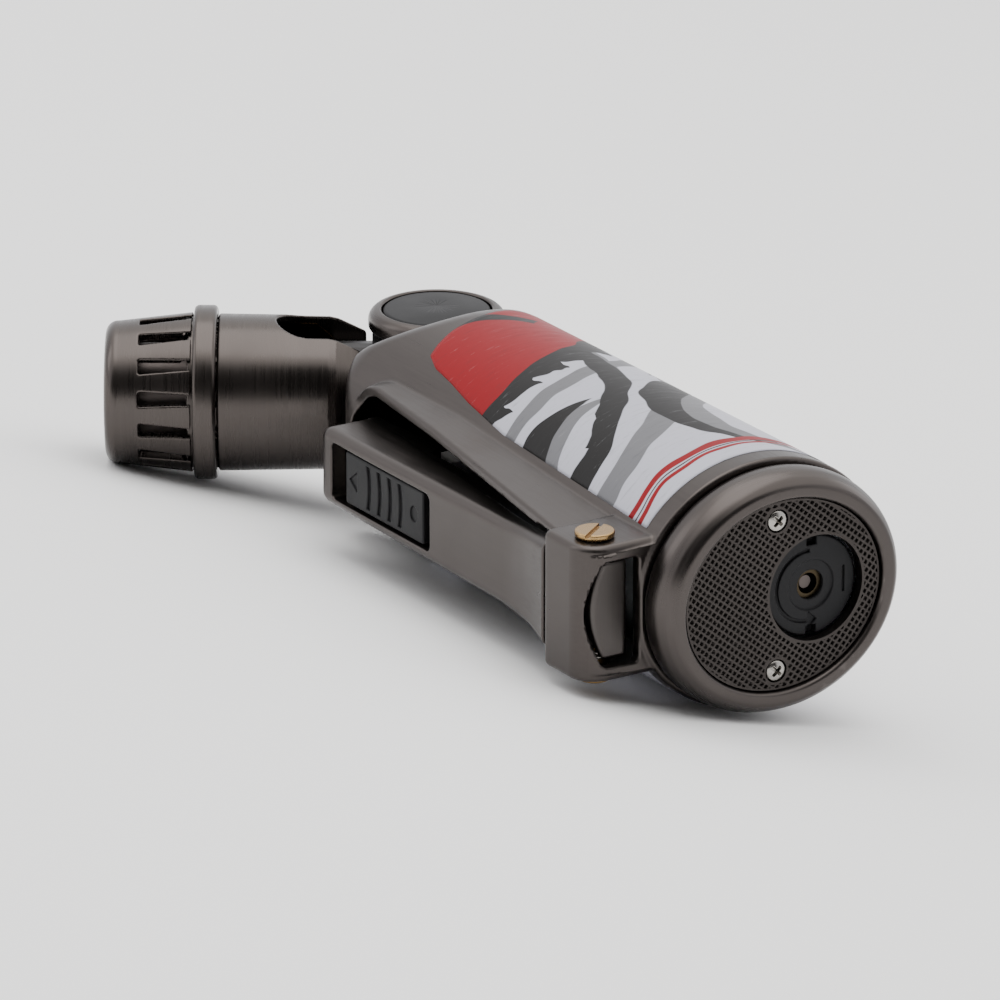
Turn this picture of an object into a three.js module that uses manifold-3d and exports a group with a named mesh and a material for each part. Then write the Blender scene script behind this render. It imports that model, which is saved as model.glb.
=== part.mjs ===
// Pocket torch lighter with a squeeze lever, a swivelling burner head and a refillable gas tank.
//
// Units are millimetres. The lighter is drawn in its own local frame:
//   local +Y runs from the base to the head, local -X is the side of the lever and the burner,
//   local Z is the direction of the lever's pivot and of the head's swivel axis.
// The finished group is turned by REST_ROLL about Y, because the lighter lies on its flank and leans
// on the burner's collar, and it is moved so that the ground is z = 0.

import * as THREE from 'three';
import * as BufferGeometryUtils from 'three/addons/utils/BufferGeometryUtils.js';
import Module from 'manifold-3d';

const wasm = await Module();
wasm.setup();

// ---------------------------------------------------------------- driving dimensions

const BODY_A = 17.2;              // half width of the oval body along X
const BODY_B = 15.3;              // half width of the oval body along Z
const BODY_START = 4.6;           // first station of the body above the base ring
const WALL = 2.0;                 // wall thickness of the housing
const CAVITY_END = 70.0;          // the housing is hollow up to here
const SHOULDER_START = 67.3;      // where the rounded shoulder begins
const SHOULDER_ROUND = 6.0;       // radius of the rounded shoulder
const OVAL_SEGMENTS = 48;

const LABEL_START = 7.5;
const LABEL_COLUMNS = 36;
const LABEL_ROWS = 7;
const LABEL_RECESS = 0.35;        // depth of the shallow recess the label lies in

const RING_FRONT = -0.7;          // front face of the base ring
const RING_REAR = 3.8;

const RAIL_TOP_BASE = 8.15;       // half height of the side rail at the base end
const RAIL_TOP_HEAD = 10.1;       // and at the head end
const RAIL_END = 71.5;
const RAIL_END_ROUND = 8.0;
const RAIL_WALL = 1.3;

const BLOCK_OUTER = -24.2;        // outer face of the hinge block
const BLOCK_TOP = 8.4;
const BLOCK_START = 5.2;
const BLOCK_END = 14.5;

const PIVOT_X = -20.3;            // lever pivot
const PIVOT_Y = 9.1;
const PIVOT_SHANK = 1.55;

const WINDOW_START = 42.4;        // pocket for the lock slider in the lever's outer face
const WINDOW_END = 65.2;
const WINDOW_FLOOR = -19.6;

const WHEEL_X = 4.6;              // flame wheel and filler valve share this axis
const WHEEL_R = 6.2;
const SCREW_X = -0.9;             // base plate screws
const SCREW_Z = 9.3;

const TANK_START = 6.2;
const TANK_END = 45.6;
const TANK_SIDE = -8.2;           // flat side of the tank that faces the lever
const RELEASE_X = 3.0;            // outlet valve axis
const ROCKER_X = -8.0;            // pin of the rocker that lifts the outlet valve
const ROCKER_Y = 49.5;

const PIEZO_Y = 56.2;             // centre line of the piezo unit

const HUB_X = 3.7;                // swivel axis of the burner head
const HUB_Y = 82.7;
const HUB_R = 8.0;
const HUB_HALF = 8.1;
const PIN_R = 3.0;
const LUG_LOW = 8.4;
const LUG_HIGH = 9.5;
const CAP_R = 8.5;
const CAP_TOP = 11.1;

const NOZZLE_ANGLE = 57.5;        // degrees from the body's axis, as the lighter lies
const BARREL_R = 9.5;
const BARREL_END = 27.0;
const COLLAR_R = 10.8;
const COLLAR_START = 27.15;
const COLLAR_END = 30.0;
const NOSE_START = 30.2;
const NOSE_END = 41.0;
const NOSE_SLOTS = 14;
const ELECTRODE_Z = -3.9;

const REST_ROLL = -14.0;          // degrees about Y at which the body and the collar meet the ground

// ---------------------------------------------------------------- materials

function metal(color, roughness, metalness) {
  return new THREE.MeshStandardMaterial({ color, roughness, metalness });
}

const gunmetal = metal(0x6e6966, 0.35, 1.0);
const darkSteel = metal(0x3b3838, 0.4, 0.9);
const nickel = metal(0xb9b6b0, 0.25, 1.0);
const brass = metal(0xb08a4e, 0.35, 1.0);
const blackPlastic = metal(0x232426, 0.55, 0.0);
const labelFilm = metal(0xb9bac4, 0.35, 0.0);
const tankPlastic = metal(0xa9adb0, 0.45, 0.0);
const rubber = metal(0x1b1b1b, 0.8, 0.0);
const ceramic = metal(0xd8d3c8, 0.6, 0.0);

// ---------------------------------------------------------------- geometry helpers

function stripped(geometry) {
  const bare = geometry.clone();
  bare.deleteAttribute('normal');
  bare.deleteAttribute('uv');
  return BufferGeometryUtils.mergeVertices(bare, 1e-5);
}

function toSolid(geometry) {
  const merged = stripped(geometry);
  const vertProperties = new Float32Array(merged.attributes.position.array);
  const triVerts = new Uint32Array(merged.index.array);
  return new wasm.Manifold(new wasm.Mesh({ numProp: 3, vertProperties, triVerts }));
}

function toGeometry(solid) {
  const mesh = solid.getMesh();
  const geometry = new THREE.BufferGeometry();
  geometry.setAttribute('position', new THREE.BufferAttribute(new Float32Array(mesh.vertProperties), 3));
  geometry.setIndex(new THREE.BufferAttribute(new Uint32Array(mesh.triVerts), 1));
  geometry.computeVertexNormals();
  return geometry;
}

function box(x0, x1, y0, y1, z0, z1) {
  const geometry = new THREE.BoxGeometry(x1 - x0, y1 - y0, z1 - z0);
  geometry.translate((x0 + x1) / 2, (y0 + y1) / 2, (z0 + z1) / 2);
  return geometry;
}

// A cylinder along Y, standing at (x, z).
function rodY(radius, y0, y1, x = 0, z = 0, segments = 24) {
  const geometry = new THREE.CylinderGeometry(radius, radius, y1 - y0, segments);
  geometry.translate(x, (y0 + y1) / 2, z);
  return geometry;
}

// A cylinder along Z, standing at (x, y).
function rodZ(radius, z0, z1, x = 0, y = 0, segments = 24) {
  const geometry = new THREE.CylinderGeometry(radius, radius, z1 - z0, segments);
  geometry.rotateX(Math.PI / 2);
  geometry.translate(x, y, (z0 + z1) / 2);
  return geometry;
}

// A solid of revolution about Y from [radius, y] points.
function latheY(points, x = 0, z = 0, segments = 40) {
  const profile = points.map(([radius, y]) => new THREE.Vector2(radius, y));
  const geometry = new THREE.LatheGeometry(profile, segments);
  geometry.translate(x, 0, z);
  return outward(geometry);
}

// The same about Z from [radius, z] points.
function latheZ(points, x = 0, y = 0, segments = 48) {
  const profile = points.map(([radius, z]) => new THREE.Vector2(radius, z));
  const geometry = new THREE.LatheGeometry(profile, segments);
  geometry.rotateX(Math.PI / 2);
  geometry.translate(x, y, 0);
  return outward(geometry);
}

// Turns a closed mesh's faces outwards if its signed volume is negative.
function outward(geometry) {
  const indexed = stripped(geometry);
  const index = indexed.index.array;
  const at = indexed.attributes.position;
  const a = new THREE.Vector3();
  const b = new THREE.Vector3();
  const c = new THREE.Vector3();
  const kept = [];
  let volume = 0;
  for (let i = 0; i < index.length; i += 3) {
    const [p, q, r] = [index[i], index[i + 1], index[i + 2]];
    if (p === q || q === r || r === p) continue;
    a.fromBufferAttribute(at, p);
    b.fromBufferAttribute(at, q);
    c.fromBufferAttribute(at, r);
    volume += a.dot(b.cross(c));
    kept.push(p, q, r);
  }
  if (volume < 0) {
    for (let i = 0; i < kept.length; i += 3) [kept[i + 1], kept[i + 2]] = [kept[i + 2], kept[i + 1]];
  }
  indexed.setIndex(kept);
  indexed.computeVertexNormals();
  return indexed;
}

// Joins stations of equal point counts into one closed solid, with flat caps at both ends.
function loft(stations) {
  const count = stations[0].length;
  const positions = stations.flat(2);
  const index = [];
  for (let s = 0; s + 1 < stations.length; s++) {
    for (let i = 0; i < count; i++) {
      const a = s * count + i;
      const b = s * count + ((i + 1) % count);
      index.push(a, b, b + count, a, b + count, a + count);
    }
  }
  const last = stations.length - 1;
  for (const [station, flip] of [[0, true], [last, false]]) {
    const centre = stations[station].reduce((sum, p) => sum.map((v, k) => v + p[k] / count), [0, 0, 0]);
    const hub = positions.length / 3;
    positions.push(...centre);
    for (let i = 0; i < count; i++) {
      const a = station * count + i;
      const b = station * count + ((i + 1) % count);
      index.push(...(flip ? [hub, b, a] : [hub, a, b]));
    }
  }
  const geometry = new THREE.BufferGeometry();
  geometry.setAttribute('position', new THREE.Float32BufferAttribute(positions, 3));
  geometry.setIndex(index);
  return outward(geometry);
}

function ovalStation(a, b, yOf, segments = OVAL_SEGMENTS) {
  const points = [];
  for (let i = 0; i < segments; i++) {
    const angle = (2 * Math.PI * i) / segments;
    const x = a * Math.cos(angle);
    const z = b * Math.sin(angle);
    points.push([x, yOf(x), z]);
  }
  return points;
}

function ovalPrism(a, b, y0, y1, segments = OVAL_SEGMENTS) {
  return loft([ovalStation(a, b, () => y0, segments), ovalStation(a, b, () => y1, segments)]);
}

// Sweeps a closed [a, b, y] profile round the oval.
function ovalRing(profile, segments = OVAL_SEGMENTS) {
  const positions = [];
  const index = [];
  const count = profile.length;
  for (let i = 0; i < segments; i++) {
    const angle = (2 * Math.PI * i) / segments;
    for (const [a, b, y] of profile) positions.push(a * Math.cos(angle), y, b * Math.sin(angle));
    const next = (i + 1) % segments;
    for (let k = 0; k < count; k++) {
      const k1 = (k + 1) % count;
      const p = i * count + k;
      const q = i * count + k1;
      index.push(p, q, next * count + k1, p, next * count + k1, next * count + k);
    }
  }
  const geometry = new THREE.BufferGeometry();
  geometry.setAttribute('position', new THREE.Float32BufferAttribute(positions, 3));
  geometry.setIndex(index);
  return outward(geometry);
}

// Extrudes an XY outline from z0 to z1.
function plate(shape, z0, z1, curveSegments = 8) {
  const options = { depth: z1 - z0, bevelEnabled: false, curveSegments };
  const geometry = new THREE.ExtrudeGeometry(shape, options);
  geometry.translate(0, 0, z0);
  return geometry;
}

// Extrudes a (Y, Z) outline from x0 to x1.
function sidePlate(shape, x0, x1, curveSegments = 8) {
  const options = { depth: x1 - x0, bevelEnabled: false, curveSegments };
  const geometry = new THREE.ExtrudeGeometry(shape, options);
  geometry.applyMatrix4(new THREE.Matrix4().makeBasis(
    new THREE.Vector3(0, 1, 0), new THREE.Vector3(0, 0, 1), new THREE.Vector3(1, 0, 0)));
  geometry.translate(x0, 0, 0);
  return geometry;
}

function outline(points) {
  return new THREE.Shape(points.map(([x, y]) => new THREE.Vector2(x, y)));
}

// A round wire or hose along a smooth curve through the given points.
function tubeAlong(points, radius, steps, sides = 8) {
  const curve = new THREE.CatmullRomCurve3(points.map((p) => new THREE.Vector3(...p)));
  const section = new THREE.Shape();
  for (let i = 0; i < sides; i++) {
    const angle = (2 * Math.PI * i) / sides;
    const call = i === 0 ? 'moveTo' : 'lineTo';
    section[call](radius * Math.cos(angle), radius * Math.sin(angle));
  }
  return new THREE.ExtrudeGeometry(section, { steps, extrudePath: curve, bevelEnabled: false });
}

const root = new THREE.Group();
const nozzle = new THREE.Group();

function add(name, geometry, material, parent = root) {
  const mesh = new THREE.Mesh(geometry, material);
  mesh.name = name;
  parent.add(mesh);
}

// ---------------------------------------------------------------- housing

// The shoulder curves round the swivel: it starts latest on the lever's side.
function shoulderStart(x) {
  const offset = x + 1;
  const rise = offset < 0 ? 0.052 * offset ** 2 : 0.03 * offset ** 2;
  return SHOULDER_START + Math.min(6, rise);
}

function bodyShell() {
  const spigot = [2.9, BODY_START].map((y) => ovalStation(BODY_A - 1.4, BODY_B - 1.4, () => y));
  const straight = [
    ovalStation(BODY_A - 0.35, BODY_B - 0.35, () => BODY_START),
    ovalStation(BODY_A, BODY_B, () => LABEL_START - 0.5),
    ovalStation(BODY_A, BODY_B, shoulderStart),
  ];
  const shoulder = [];
  const steps = 6;
  for (let i = 1; i <= steps; i++) {
    const turn = (Math.PI / 2) * (i / steps);
    const inset = SHOULDER_ROUND * (1 - Math.cos(turn));
    const rise = SHOULDER_ROUND * Math.sin(turn);
    const scale = (BODY_A - inset) / BODY_A;
    const yOf = (x) => shoulderStart(x / scale) + rise;
    shoulder.push(ovalStation(BODY_A - inset, BODY_B - inset, yOf));
  }
  return loft([...spigot, ...straight, ...shoulder]);
}

function railHeight(y) {
  return RAIL_TOP_BASE + (RAIL_TOP_HEAD - RAIL_TOP_BASE) * Math.min(1, (y - BODY_START) / 45);
}

// Side view of the rail, with rounded corners at its head end, drawn in (Y, Z).
// Half height of the rails on the side away from the cap, along Y.
const RAIL_LOW = [[4.6, 8.15], [16, 8.0], [22, 7.4], [30, 7.1], [50, 8.2], [62, 8.8]];

function railSide(start, end, inset, round) {
  const shape = new THREE.Shape();
  const middle = 50;
  const top = railHeight(middle) - inset;
  const lowRound = Math.min(round, RAIL_LOW[RAIL_LOW.length - 1][1] - inset);
  shape.moveTo(start, -(RAIL_LOW[0][1] - inset));
  for (const [y, height] of RAIL_LOW.slice(1)) shape.lineTo(Math.min(y, end - lowRound), -(height - inset));
  const low = RAIL_LOW[RAIL_LOW.length - 1][1] - inset;
  shape.absarc(end - lowRound, -low + lowRound, lowRound, -Math.PI / 2, 0, false);
  shape.absarc(end - round, top - round, round, 0, Math.PI / 2, false);
  shape.lineTo(middle, top);
  shape.lineTo(start, railHeight(start) - inset);
  return shape;
}

// The rail narrows towards its outer edge by the draft.
function railSolid() {
  const draft = 1.0;
  const plan = outline([[-8, BODY_START], [-23.2, BODY_START], [-22.1, BLOCK_END], [-15.4, RAIL_END],
    [-8, RAIL_END]]);
  const stations = [[-8, 0], [-24, draft]].map(([x, inset]) => {
    const side = railSide(BODY_START, RAIL_END - inset / 2, inset, RAIL_END_ROUND);
    return side.getPoints(8).map((p) => [x, p.x, p.y]);
  });
  return toSolid(plate(plan, -12, 12)).intersect(toSolid(loft(stations)));
}

function hingeBlock() {
  const corner = 2.2;
  const plan = new THREE.Shape();
  plan.moveTo(-12, BLOCK_START);
  plan.lineTo(-12, BLOCK_END);
  plan.lineTo(BLOCK_OUTER, BLOCK_END);
  plan.lineTo(BLOCK_OUTER, BLOCK_START + corner);
  plan.absarc(BLOCK_OUTER + corner, BLOCK_START + corner, corner, Math.PI, Math.PI * 1.5, false);
  plan.lineTo(-12, BLOCK_START);
  return toSolid(plate(plan, -BLOCK_TOP, BLOCK_TOP, 6));
}

// Plan rounding of the shoulder on the lever's side, cut through the whole depth.
function shoulderCorner() {
  const round = 12.5;
  const x = -BODY_A + round;
  const y = SHOULDER_START + 11.7 - round;
  const points = [[-30, y]];
  for (let i = 0; i <= 12; i += 1) {
    const turn = Math.PI - (i / 12) * (Math.PI / 2);
    points.push([x + round * Math.cos(turn), y + round * Math.sin(turn)]);
  }
  return plate(outline([...points, [x, 95], [-30, 95]]), -20, 20);
}

function housing() {
  const channel = railSide(15.4, RAIL_END - 1.4, RAIL_WALL, RAIL_END_ROUND - RAIL_WALL);
  const cuts = [
    labelSolid(-LABEL_RECESS, 1.2, 0.25),
    ovalPrism(BODY_A - WALL, BODY_B - WALL, 0, CAVITY_END),
    sidePlate(channel, -40, -11.0),
    box(-23.1, -11.0, 6.3, 20, -7.0, 7.0),
    box(-22.3, -17.0, 2, 8, -6.3, 6.3),
    rodZ(PIVOT_SHANK + 0.1, -12, 12, PIVOT_X, PIVOT_Y),
    rodZ(CAP_R + 0.3, -14, 14, HUB_X, HUB_Y, 40),
    box(HUB_X - 5.3, HUB_X + 5.3, 65, 80, LUG_LOW - 0.3, LUG_HIGH + 0.3),
    box(HUB_X - 5.3, HUB_X + 5.3, 65, 80, -LUG_HIGH - 0.3, -LUG_LOW + 0.3),
    rodY(3.4, 65, 80, HUB_X + 0.4, 0),
  ];
  const body = toSolid(bodyShell()).subtract(toSolid(shoulderCorner()));
  let solid = body.add(railSolid()).add(hingeBlock());
  for (const cut of cuts) solid = solid.subtract(toSolid(cut));
  return toGeometry(solid);
}

// The printed film wraps the body from one rail round the back to the other.
const LABEL_SIDE_EDGE = [[0, 145.5], [0.32, 142], [0.6, 139], [0.77, 133.8], [0.87, 129.6], [0.95, 127], [1, 123]];
const LABEL_HEAD_EDGE = [[0, 69], [60, 68.8], [71, 68.2], [85, 66.8], [97, 65.8], [108, 64.9], [117, 63.9],
  [123, 63]];

// Straight-line interpolation in a list of [key, value] pairs.
function lookUp(pairs, key) {
  for (let i = 0; i + 1 < pairs.length; i++) {
    const [k0, v0] = pairs[i];
    const [k1, v1] = pairs[i + 1];
    if (key <= k1) return v0 + ((v1 - v0) * (key - k0)) / (k1 - k0);
  }
  return pairs[pairs.length - 1][1];
}

// The label's plan between two heights over the oval, grown by a margin at its edges.
function labelSolid(low, high, margin) {
  const stride = LABEL_COLUMNS + 1;
  const layer = stride * (LABEL_ROWS + 1);
  const positions = [];
  for (const lift of [low, high]) {
    for (let j = 0; j <= LABEL_ROWS; j++) {
      for (let i = 0; i <= LABEL_COLUMNS; i++) {
        const v = j / LABEL_ROWS;
        const angle = ((2 * i) / LABEL_COLUMNS - 1) * (lookUp(LABEL_SIDE_EDGE, v) + margin * 3.6);
        const start = LABEL_START - margin;
        const y = start + (lookUp(LABEL_HEAD_EDGE, Math.abs(angle)) + margin - start) * v;
        const turn = (angle * Math.PI) / 180;
        positions.push((BODY_A + lift) * Math.cos(turn), y, (BODY_B + lift) * Math.sin(turn));
      }
    }
  }
  const index = [];
  for (let j = 0; j < LABEL_ROWS; j++) {
    for (let i = 0; i < LABEL_COLUMNS; i++) {
      const a = j * stride + i;
      index.push(a, a + 1, a + stride + 1, a, a + stride + 1, a + stride);
      const b = a + layer;
      index.push(b, b + stride + 1, b + 1, b, b + stride, b + stride + 1);
    }
  }
  const rim = [];
  for (let i = 0; i < LABEL_COLUMNS; i++) rim.push(i);
  for (let j = 0; j < LABEL_ROWS; j++) rim.push(j * stride + LABEL_COLUMNS);
  for (let i = LABEL_COLUMNS; i > 0; i--) rim.push(LABEL_ROWS * stride + i);
  for (let j = LABEL_ROWS; j > 0; j--) rim.push(j * stride);
  rim.forEach((a, k) => {
    const b = rim[(k + 1) % rim.length];
    index.push(b, a, a + layer, b, a + layer, b + layer);
  });
  const geometry = new THREE.BufferGeometry();
  geometry.setAttribute('position', new THREE.Float32BufferAttribute(positions, 3));
  geometry.setIndex(index);
  return outward(geometry);
}

// ---------------------------------------------------------------- base

function baseRing() {
  return ovalRing([
    [15.35, 13.4, RING_FRONT], [16.15, 14.15, 0.2], [16.7, 14.65, 1.4], [16.85, 14.85, 2.5],
    [16.45, 14.65, RING_REAR], [16.0, 14.2, RING_REAR], [16.0, 14.2, 2.7],
    [12.4, 10.6, 2.7], [12.4, 10.6, 1.4], [13.75, 11.9, 1.4], [13.75, 11.9, -0.5], [13.95, 12.1, RING_FRONT],
  ]);
}

function basePlate() {
  let solid = toSolid(ovalPrism(13.5, 11.65, 0, 1.25, 44));
  solid = solid.subtract(toSolid(rodY(6.5, -1, 2, WHEEL_X, 0, 36)));
  for (const z of [-SCREW_Z, SCREW_Z]) {
    solid = solid.subtract(toSolid(rodY(1.45, -1, 0.8, SCREW_X, z, 20)));
    solid = solid.subtract(toSolid(rodY(1.1, -1, 2, SCREW_X, z, 20)));
  }
  return toGeometry(solid);
}

// A cross-head screw along +Y with its head's top at y = -0.25.
function baseScrew(z) {
  const profile = [[0, -0.3], [0.7, -0.28], [1.15, -0.1], [1.3, 0.15], [1.3, 0.7], [0.85, 0.75], [0.85, 9.6],
    [0.3, 10.3], [0, 10.3]];
  let solid = toSolid(latheY(profile, SCREW_X, z, 16));
  solid = solid.subtract(toSolid(box(SCREW_X - 0.8, SCREW_X + 0.8, -1, 0.25, z - 0.17, z + 0.17)));
  solid = solid.subtract(toSolid(box(SCREW_X - 0.17, SCREW_X + 0.17, -1, 0.25, z - 0.8, z + 0.8)));
  return toGeometry(solid);
}

function adjusterWheel() {
  const profile = [[2.4, 1.0], [WHEEL_R - 0.3, 1.0], [WHEEL_R, 1.3], [WHEEL_R, 3.5], [2.4, 3.5], [2.4, 1.0]];
  let solid = toSolid(latheY(profile, WHEEL_X, 0, 36));
  for (const z of [-5.6, 5.6]) {
    solid = solid.subtract(toSolid(box(WHEEL_X + 0.6, WHEEL_X + 2.0, 0, 2, z - 0.9, z + 0.9)));
  }
  return toGeometry(solid);
}

function fillerValveBody() {
  return latheY([[1.3, 1.8], [2.1, 1.8], [2.1, 4.2], [3.2, 4.2], [3.2, 5.2], [2.1, 5.2], [2.1, 11.5],
    [1.3, 11.5], [1.3, 1.8]], WHEEL_X, 0, 18);
}

function fillerValveStem() {
  return latheY([[0, 2.4], [0.8, 2.4], [0.8, 4.5], [1.15, 4.6], [1.15, 8.6], [0, 8.6]], WHEEL_X, 0, 16);
}

function fillerSealRing() {
  return latheY([[2.2, 5.35], [3.1, 5.35], [3.1, 6.05], [2.2, 6.05], [2.2, 5.35]], WHEEL_X, 0, 20);
}

// ---------------------------------------------------------------- gas tank and outlet valve

function gasTank() {
  const flat = (geometry, x) => toSolid(geometry).intersect(toSolid(box(x, 30, -5, 90, -30, 30)));
  const outer = flat(ovalPrism(14.9, 13.1, TANK_START, TANK_END, 40), TANK_SIDE);
  let inner = flat(ovalPrism(13.7, 11.9, TANK_START + 1.8, TANK_END - 1.5, 40), TANK_SIDE + 1.3);
  for (const z of [-SCREW_Z, SCREW_Z]) {
    inner = inner.subtract(toSolid(rodY(2.3, 0, 13, SCREW_X, z, 16)));
  }
  let solid = outer.subtract(inner);
  for (const z of [-SCREW_Z, SCREW_Z]) solid = solid.subtract(toSolid(rodY(1.1, 0, 11.2, SCREW_X, z, 16)));
  solid = solid.subtract(toSolid(rodY(2.4, 0, 9, WHEEL_X, 0, 18)));
  solid = solid.subtract(toSolid(rodY(2.3, TANK_END - 4, TANK_END + 1, RELEASE_X, 0, 18)));
  return toGeometry(solid);
}

function releaseValveBody() {
  return latheY([[1.0, 41.3], [2.0, 41.3], [2.0, 47.7], [1.4, 48.2], [1.0, 48.2], [1.0, 41.3]],
    RELEASE_X, 0, 16);
}

function releaseValveStem() {
  return latheY([[0, 42.8], [0.75, 42.8], [0.75, 50.5], [1.6, 50.6], [1.6, 51.3], [0.6, 51.8], [0, 51.8]],
    RELEASE_X, 0, 16);
}

function valveBracket() {
  let solid = toSolid(box(-9.2, 6, 45.9, 51.5, -3.9, 3.9));
  solid = solid.subtract(toSolid(box(-12, 7, 46.8, 52.5, -3.1, 3.1)));
  solid = solid.subtract(toSolid(rodY(2.25, 45, 48, RELEASE_X, 0, 18)));
  solid = solid.subtract(toSolid(box(-12, -8.3, 45, 47.5, -3.1, 3.1)));
  solid = solid.subtract(toSolid(rodZ(0.75, -5, 5, ROCKER_X, ROCKER_Y, 14)));
  return toGeometry(solid);
}

function valveRocker() {
  const plan = outline([[-9.1, 50.5], [-6.9, 50.5], [-6.5, 50.0], [5, 50.0], [5, 49.0], [-6.8, 49.0],
    [-8.0, 48.1], [-9.6, 47.0], [-9.8, 42.0], [-10.6, 42.0], [-10.4, 47.6], [-9.1, 49.0]]);
  let solid = toSolid(plate(plan, -2.3, 2.3));
  solid = solid.subtract(toSolid(box(1.4, 6, 48, 51, -1.0, 1.0)));
  solid = solid.subtract(toSolid(rodZ(0.76, -5, 5, ROCKER_X, ROCKER_Y, 14)));
  return toGeometry(solid);
}

function gasHose() {
  return tubeAlong([[3, 47.4, -5.1], [3, 50.6, -6.7], [3.2, 57, -6.7], [3.4, 62.5, -5.6], [3.5, 68, -2.2],
    [3.5, 73.6, -1.2]], 0.95, 16, 7);
}

function igniterLead() {
  return tubeAlong([[11.4, 59.6, 0], [11.2, 61.4, 1.4], [8.8, 65.5, 3.6], [5.6, 69, 2.2], [4.9, 73.6, 1.2]],
    0.55, 14, 6);
}

// ---------------------------------------------------------------- piezo unit

function piezoBody() {
  const solid = toSolid(box(-6.6, 13, PIEZO_Y - 3, PIEZO_Y + 3, -4, 4));
  return toGeometry(solid.subtract(toSolid(box(-8, 0.2, PIEZO_Y - 2.3, PIEZO_Y + 2.3, -2.5, 2.5))));
}

function piezoPlunger() {
  return box(-12.9, -5.8, PIEZO_Y - 2.0, PIEZO_Y + 2.0, -2.2, 2.2);
}

// ---------------------------------------------------------------- lever

// Outer face, inner edge and half width of the lever's shell along Y.
const LEVER_STATIONS = [
  [14.8, -23.9, -21.2, 6.6], [18.5, -23.1, -20.7, 6.1], [26, -22.4, -19.9, 5.5], [38, -22.3, -18.8, 5.3],
  [50, -22.4, -17.7, 5.15], [60, -22.3, -16.7, 5.0], [66, -22.0, -16.1, 4.9], [67.8, -21.7, -16.0, 4.5],
  [68.6, -20.8, -16.4, 3.9],
];

function leverShell() {
  const edge = 1.2;
  const stations = LEVER_STATIONS.map(([y, outer, inner, half]) => {
    const cut = Math.min(edge, (inner - outer) * 0.6);
    return [
      [outer + cut * 0.29, y, half - cut * 0.29], [outer + cut, y, half], [inner, y, half], [inner, y, -half],
      [outer + cut, y, -half], [outer + cut * 0.29, y, -half + cut * 0.29], [outer, y, -half + cut],
      [outer, y, half - cut],
    ];
  });
  let solid = toSolid(loft(stations));
  solid = solid.subtract(toSolid(box(-26, WINDOW_FLOOR, WINDOW_START, WINDOW_END, -3.6, 3.6)));
  return toGeometry(solid);
}

// The inner arm carries the pads that push the piezo plunger and the valve rocker.
function leverCore() {
  const plan = outline([[-21.0, 11.5], [-21.0, 14.8], [-20.5, 18.5], [-19.7, 26], [-18.6, 38], [-17.5, 50],
    [-16.5, 60], [-15.9, 66], [-15.8, 67.4], [-14.2, 67.4], [-13.8, PIEZO_Y + 3.2], [-13.8, PIEZO_Y - 3.2],
    [-15.4, PIEZO_Y - 4.4], [-15.5, 44], [-14.3, 43.6], [-14.3, 41], [-15.6, 40.4], [-16.6, 18], [-16.8, 11.5]]);
  const heel = toSolid(rodZ(2.6, -4.4, 6.6, PIVOT_X, PIVOT_Y, 28));
  const arm = toSolid(box(-20.8, -17.4, PIVOT_Y, 16.4, -4.4, 6.2));
  let solid = toSolid(plate(plan, -4.4, 4.4)).add(heel).add(arm);
  solid = solid.subtract(toSolid(rodZ(PIVOT_SHANK + 0.1, -12, 12, PIVOT_X, PIVOT_Y)));
  return toGeometry(solid);
}

function pivotScrew() {
  const head = 2.35;
  const profile = [[0, -9.2], [1.9, -9.2], [1.9, -8.5], [PIVOT_SHANK, -8.5], [PIVOT_SHANK, 8.5], [head, 8.5],
    [head, 8.95], [head - 0.3, 9.2], [0, 9.25]];
  let solid = toSolid(latheZ(profile, PIVOT_X, PIVOT_Y, 24));
  const slot = box(-3, 3, -0.28, 0.28, 8.85, 10);
  slot.rotateZ(THREE.MathUtils.degToRad(64));
  slot.translate(PIVOT_X, PIVOT_Y, 0);
  solid = solid.subtract(toSolid(slot));
  return toGeometry(solid);
}

// A torsion spring of two and a half turns under the lever's heel.
function returnSpring() {
  const radius = 2.25;
  const turns = 2.5;
  const points = [[PIVOT_X + 2.0, PIVOT_Y + 9.5, -5.0], [PIVOT_X + 2.2, PIVOT_Y + 4, -5.0]];
  const perTurn = 8;
  for (let i = 0; i <= turns * perTurn; i++) {
    const angle = (2 * Math.PI * i) / perTurn;
    const z = -5.0 - (1.45 * i) / (turns * perTurn);
    points.push([PIVOT_X + radius * Math.cos(angle), PIVOT_Y - radius * Math.sin(angle), z]);
  }
  return tubeAlong(points, 0.24, 48, 5);
}

function lockSlider() {
  let solid = toSolid(box(-22.0, -20.2, 44.3, 62.1, -3.3, 3.3));
  for (let i = 0; i < 4; i++) {
    const y = 49.2 + 2.4 * i;
    solid = solid.subtract(toSolid(box(-23, -21.6, y, y + 0.8, -2.6, 2.6)));
  }
  return toGeometry(solid);
}

function detentPlate() {
  return box(-20.1, -19.7, WINDOW_START + 0.3, WINDOW_END - 0.3, -3.2, 3.2);
}

// ---------------------------------------------------------------- swivel

function headFrame() {
  const plan = new THREE.Shape();
  plan.absarc(HUB_X, HUB_Y, 7.7, -Math.PI * 0.3, Math.PI * 1.3, false);
  plan.lineTo(HUB_X - 5, HUB_Y - 6.6);
  plan.lineTo(HUB_X - 5, 63);
  plan.lineTo(HUB_X + 5, 63);
  plan.lineTo(HUB_X + 5, HUB_Y - 6.6);
  const lug = (z0, z1) => toSolid(plate(plan, z0, z1, 12));
  let solid = lug(LUG_LOW, LUG_HIGH).add(lug(-LUG_HIGH, -LUG_LOW));
  solid = solid.add(toSolid(box(HUB_X - 5, HUB_X + 5, 63, 64.2, -LUG_HIGH, LUG_HIGH)));
  solid = solid.subtract(toSolid(box(HUB_X - 3.6, HUB_X + 6, 62, 65, -7.6, 7.6)));
  solid = solid.subtract(toSolid(rodZ(PIN_R + 0.1, -12, 12, HUB_X, HUB_Y, 28)));
  return toGeometry(solid);
}

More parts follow.
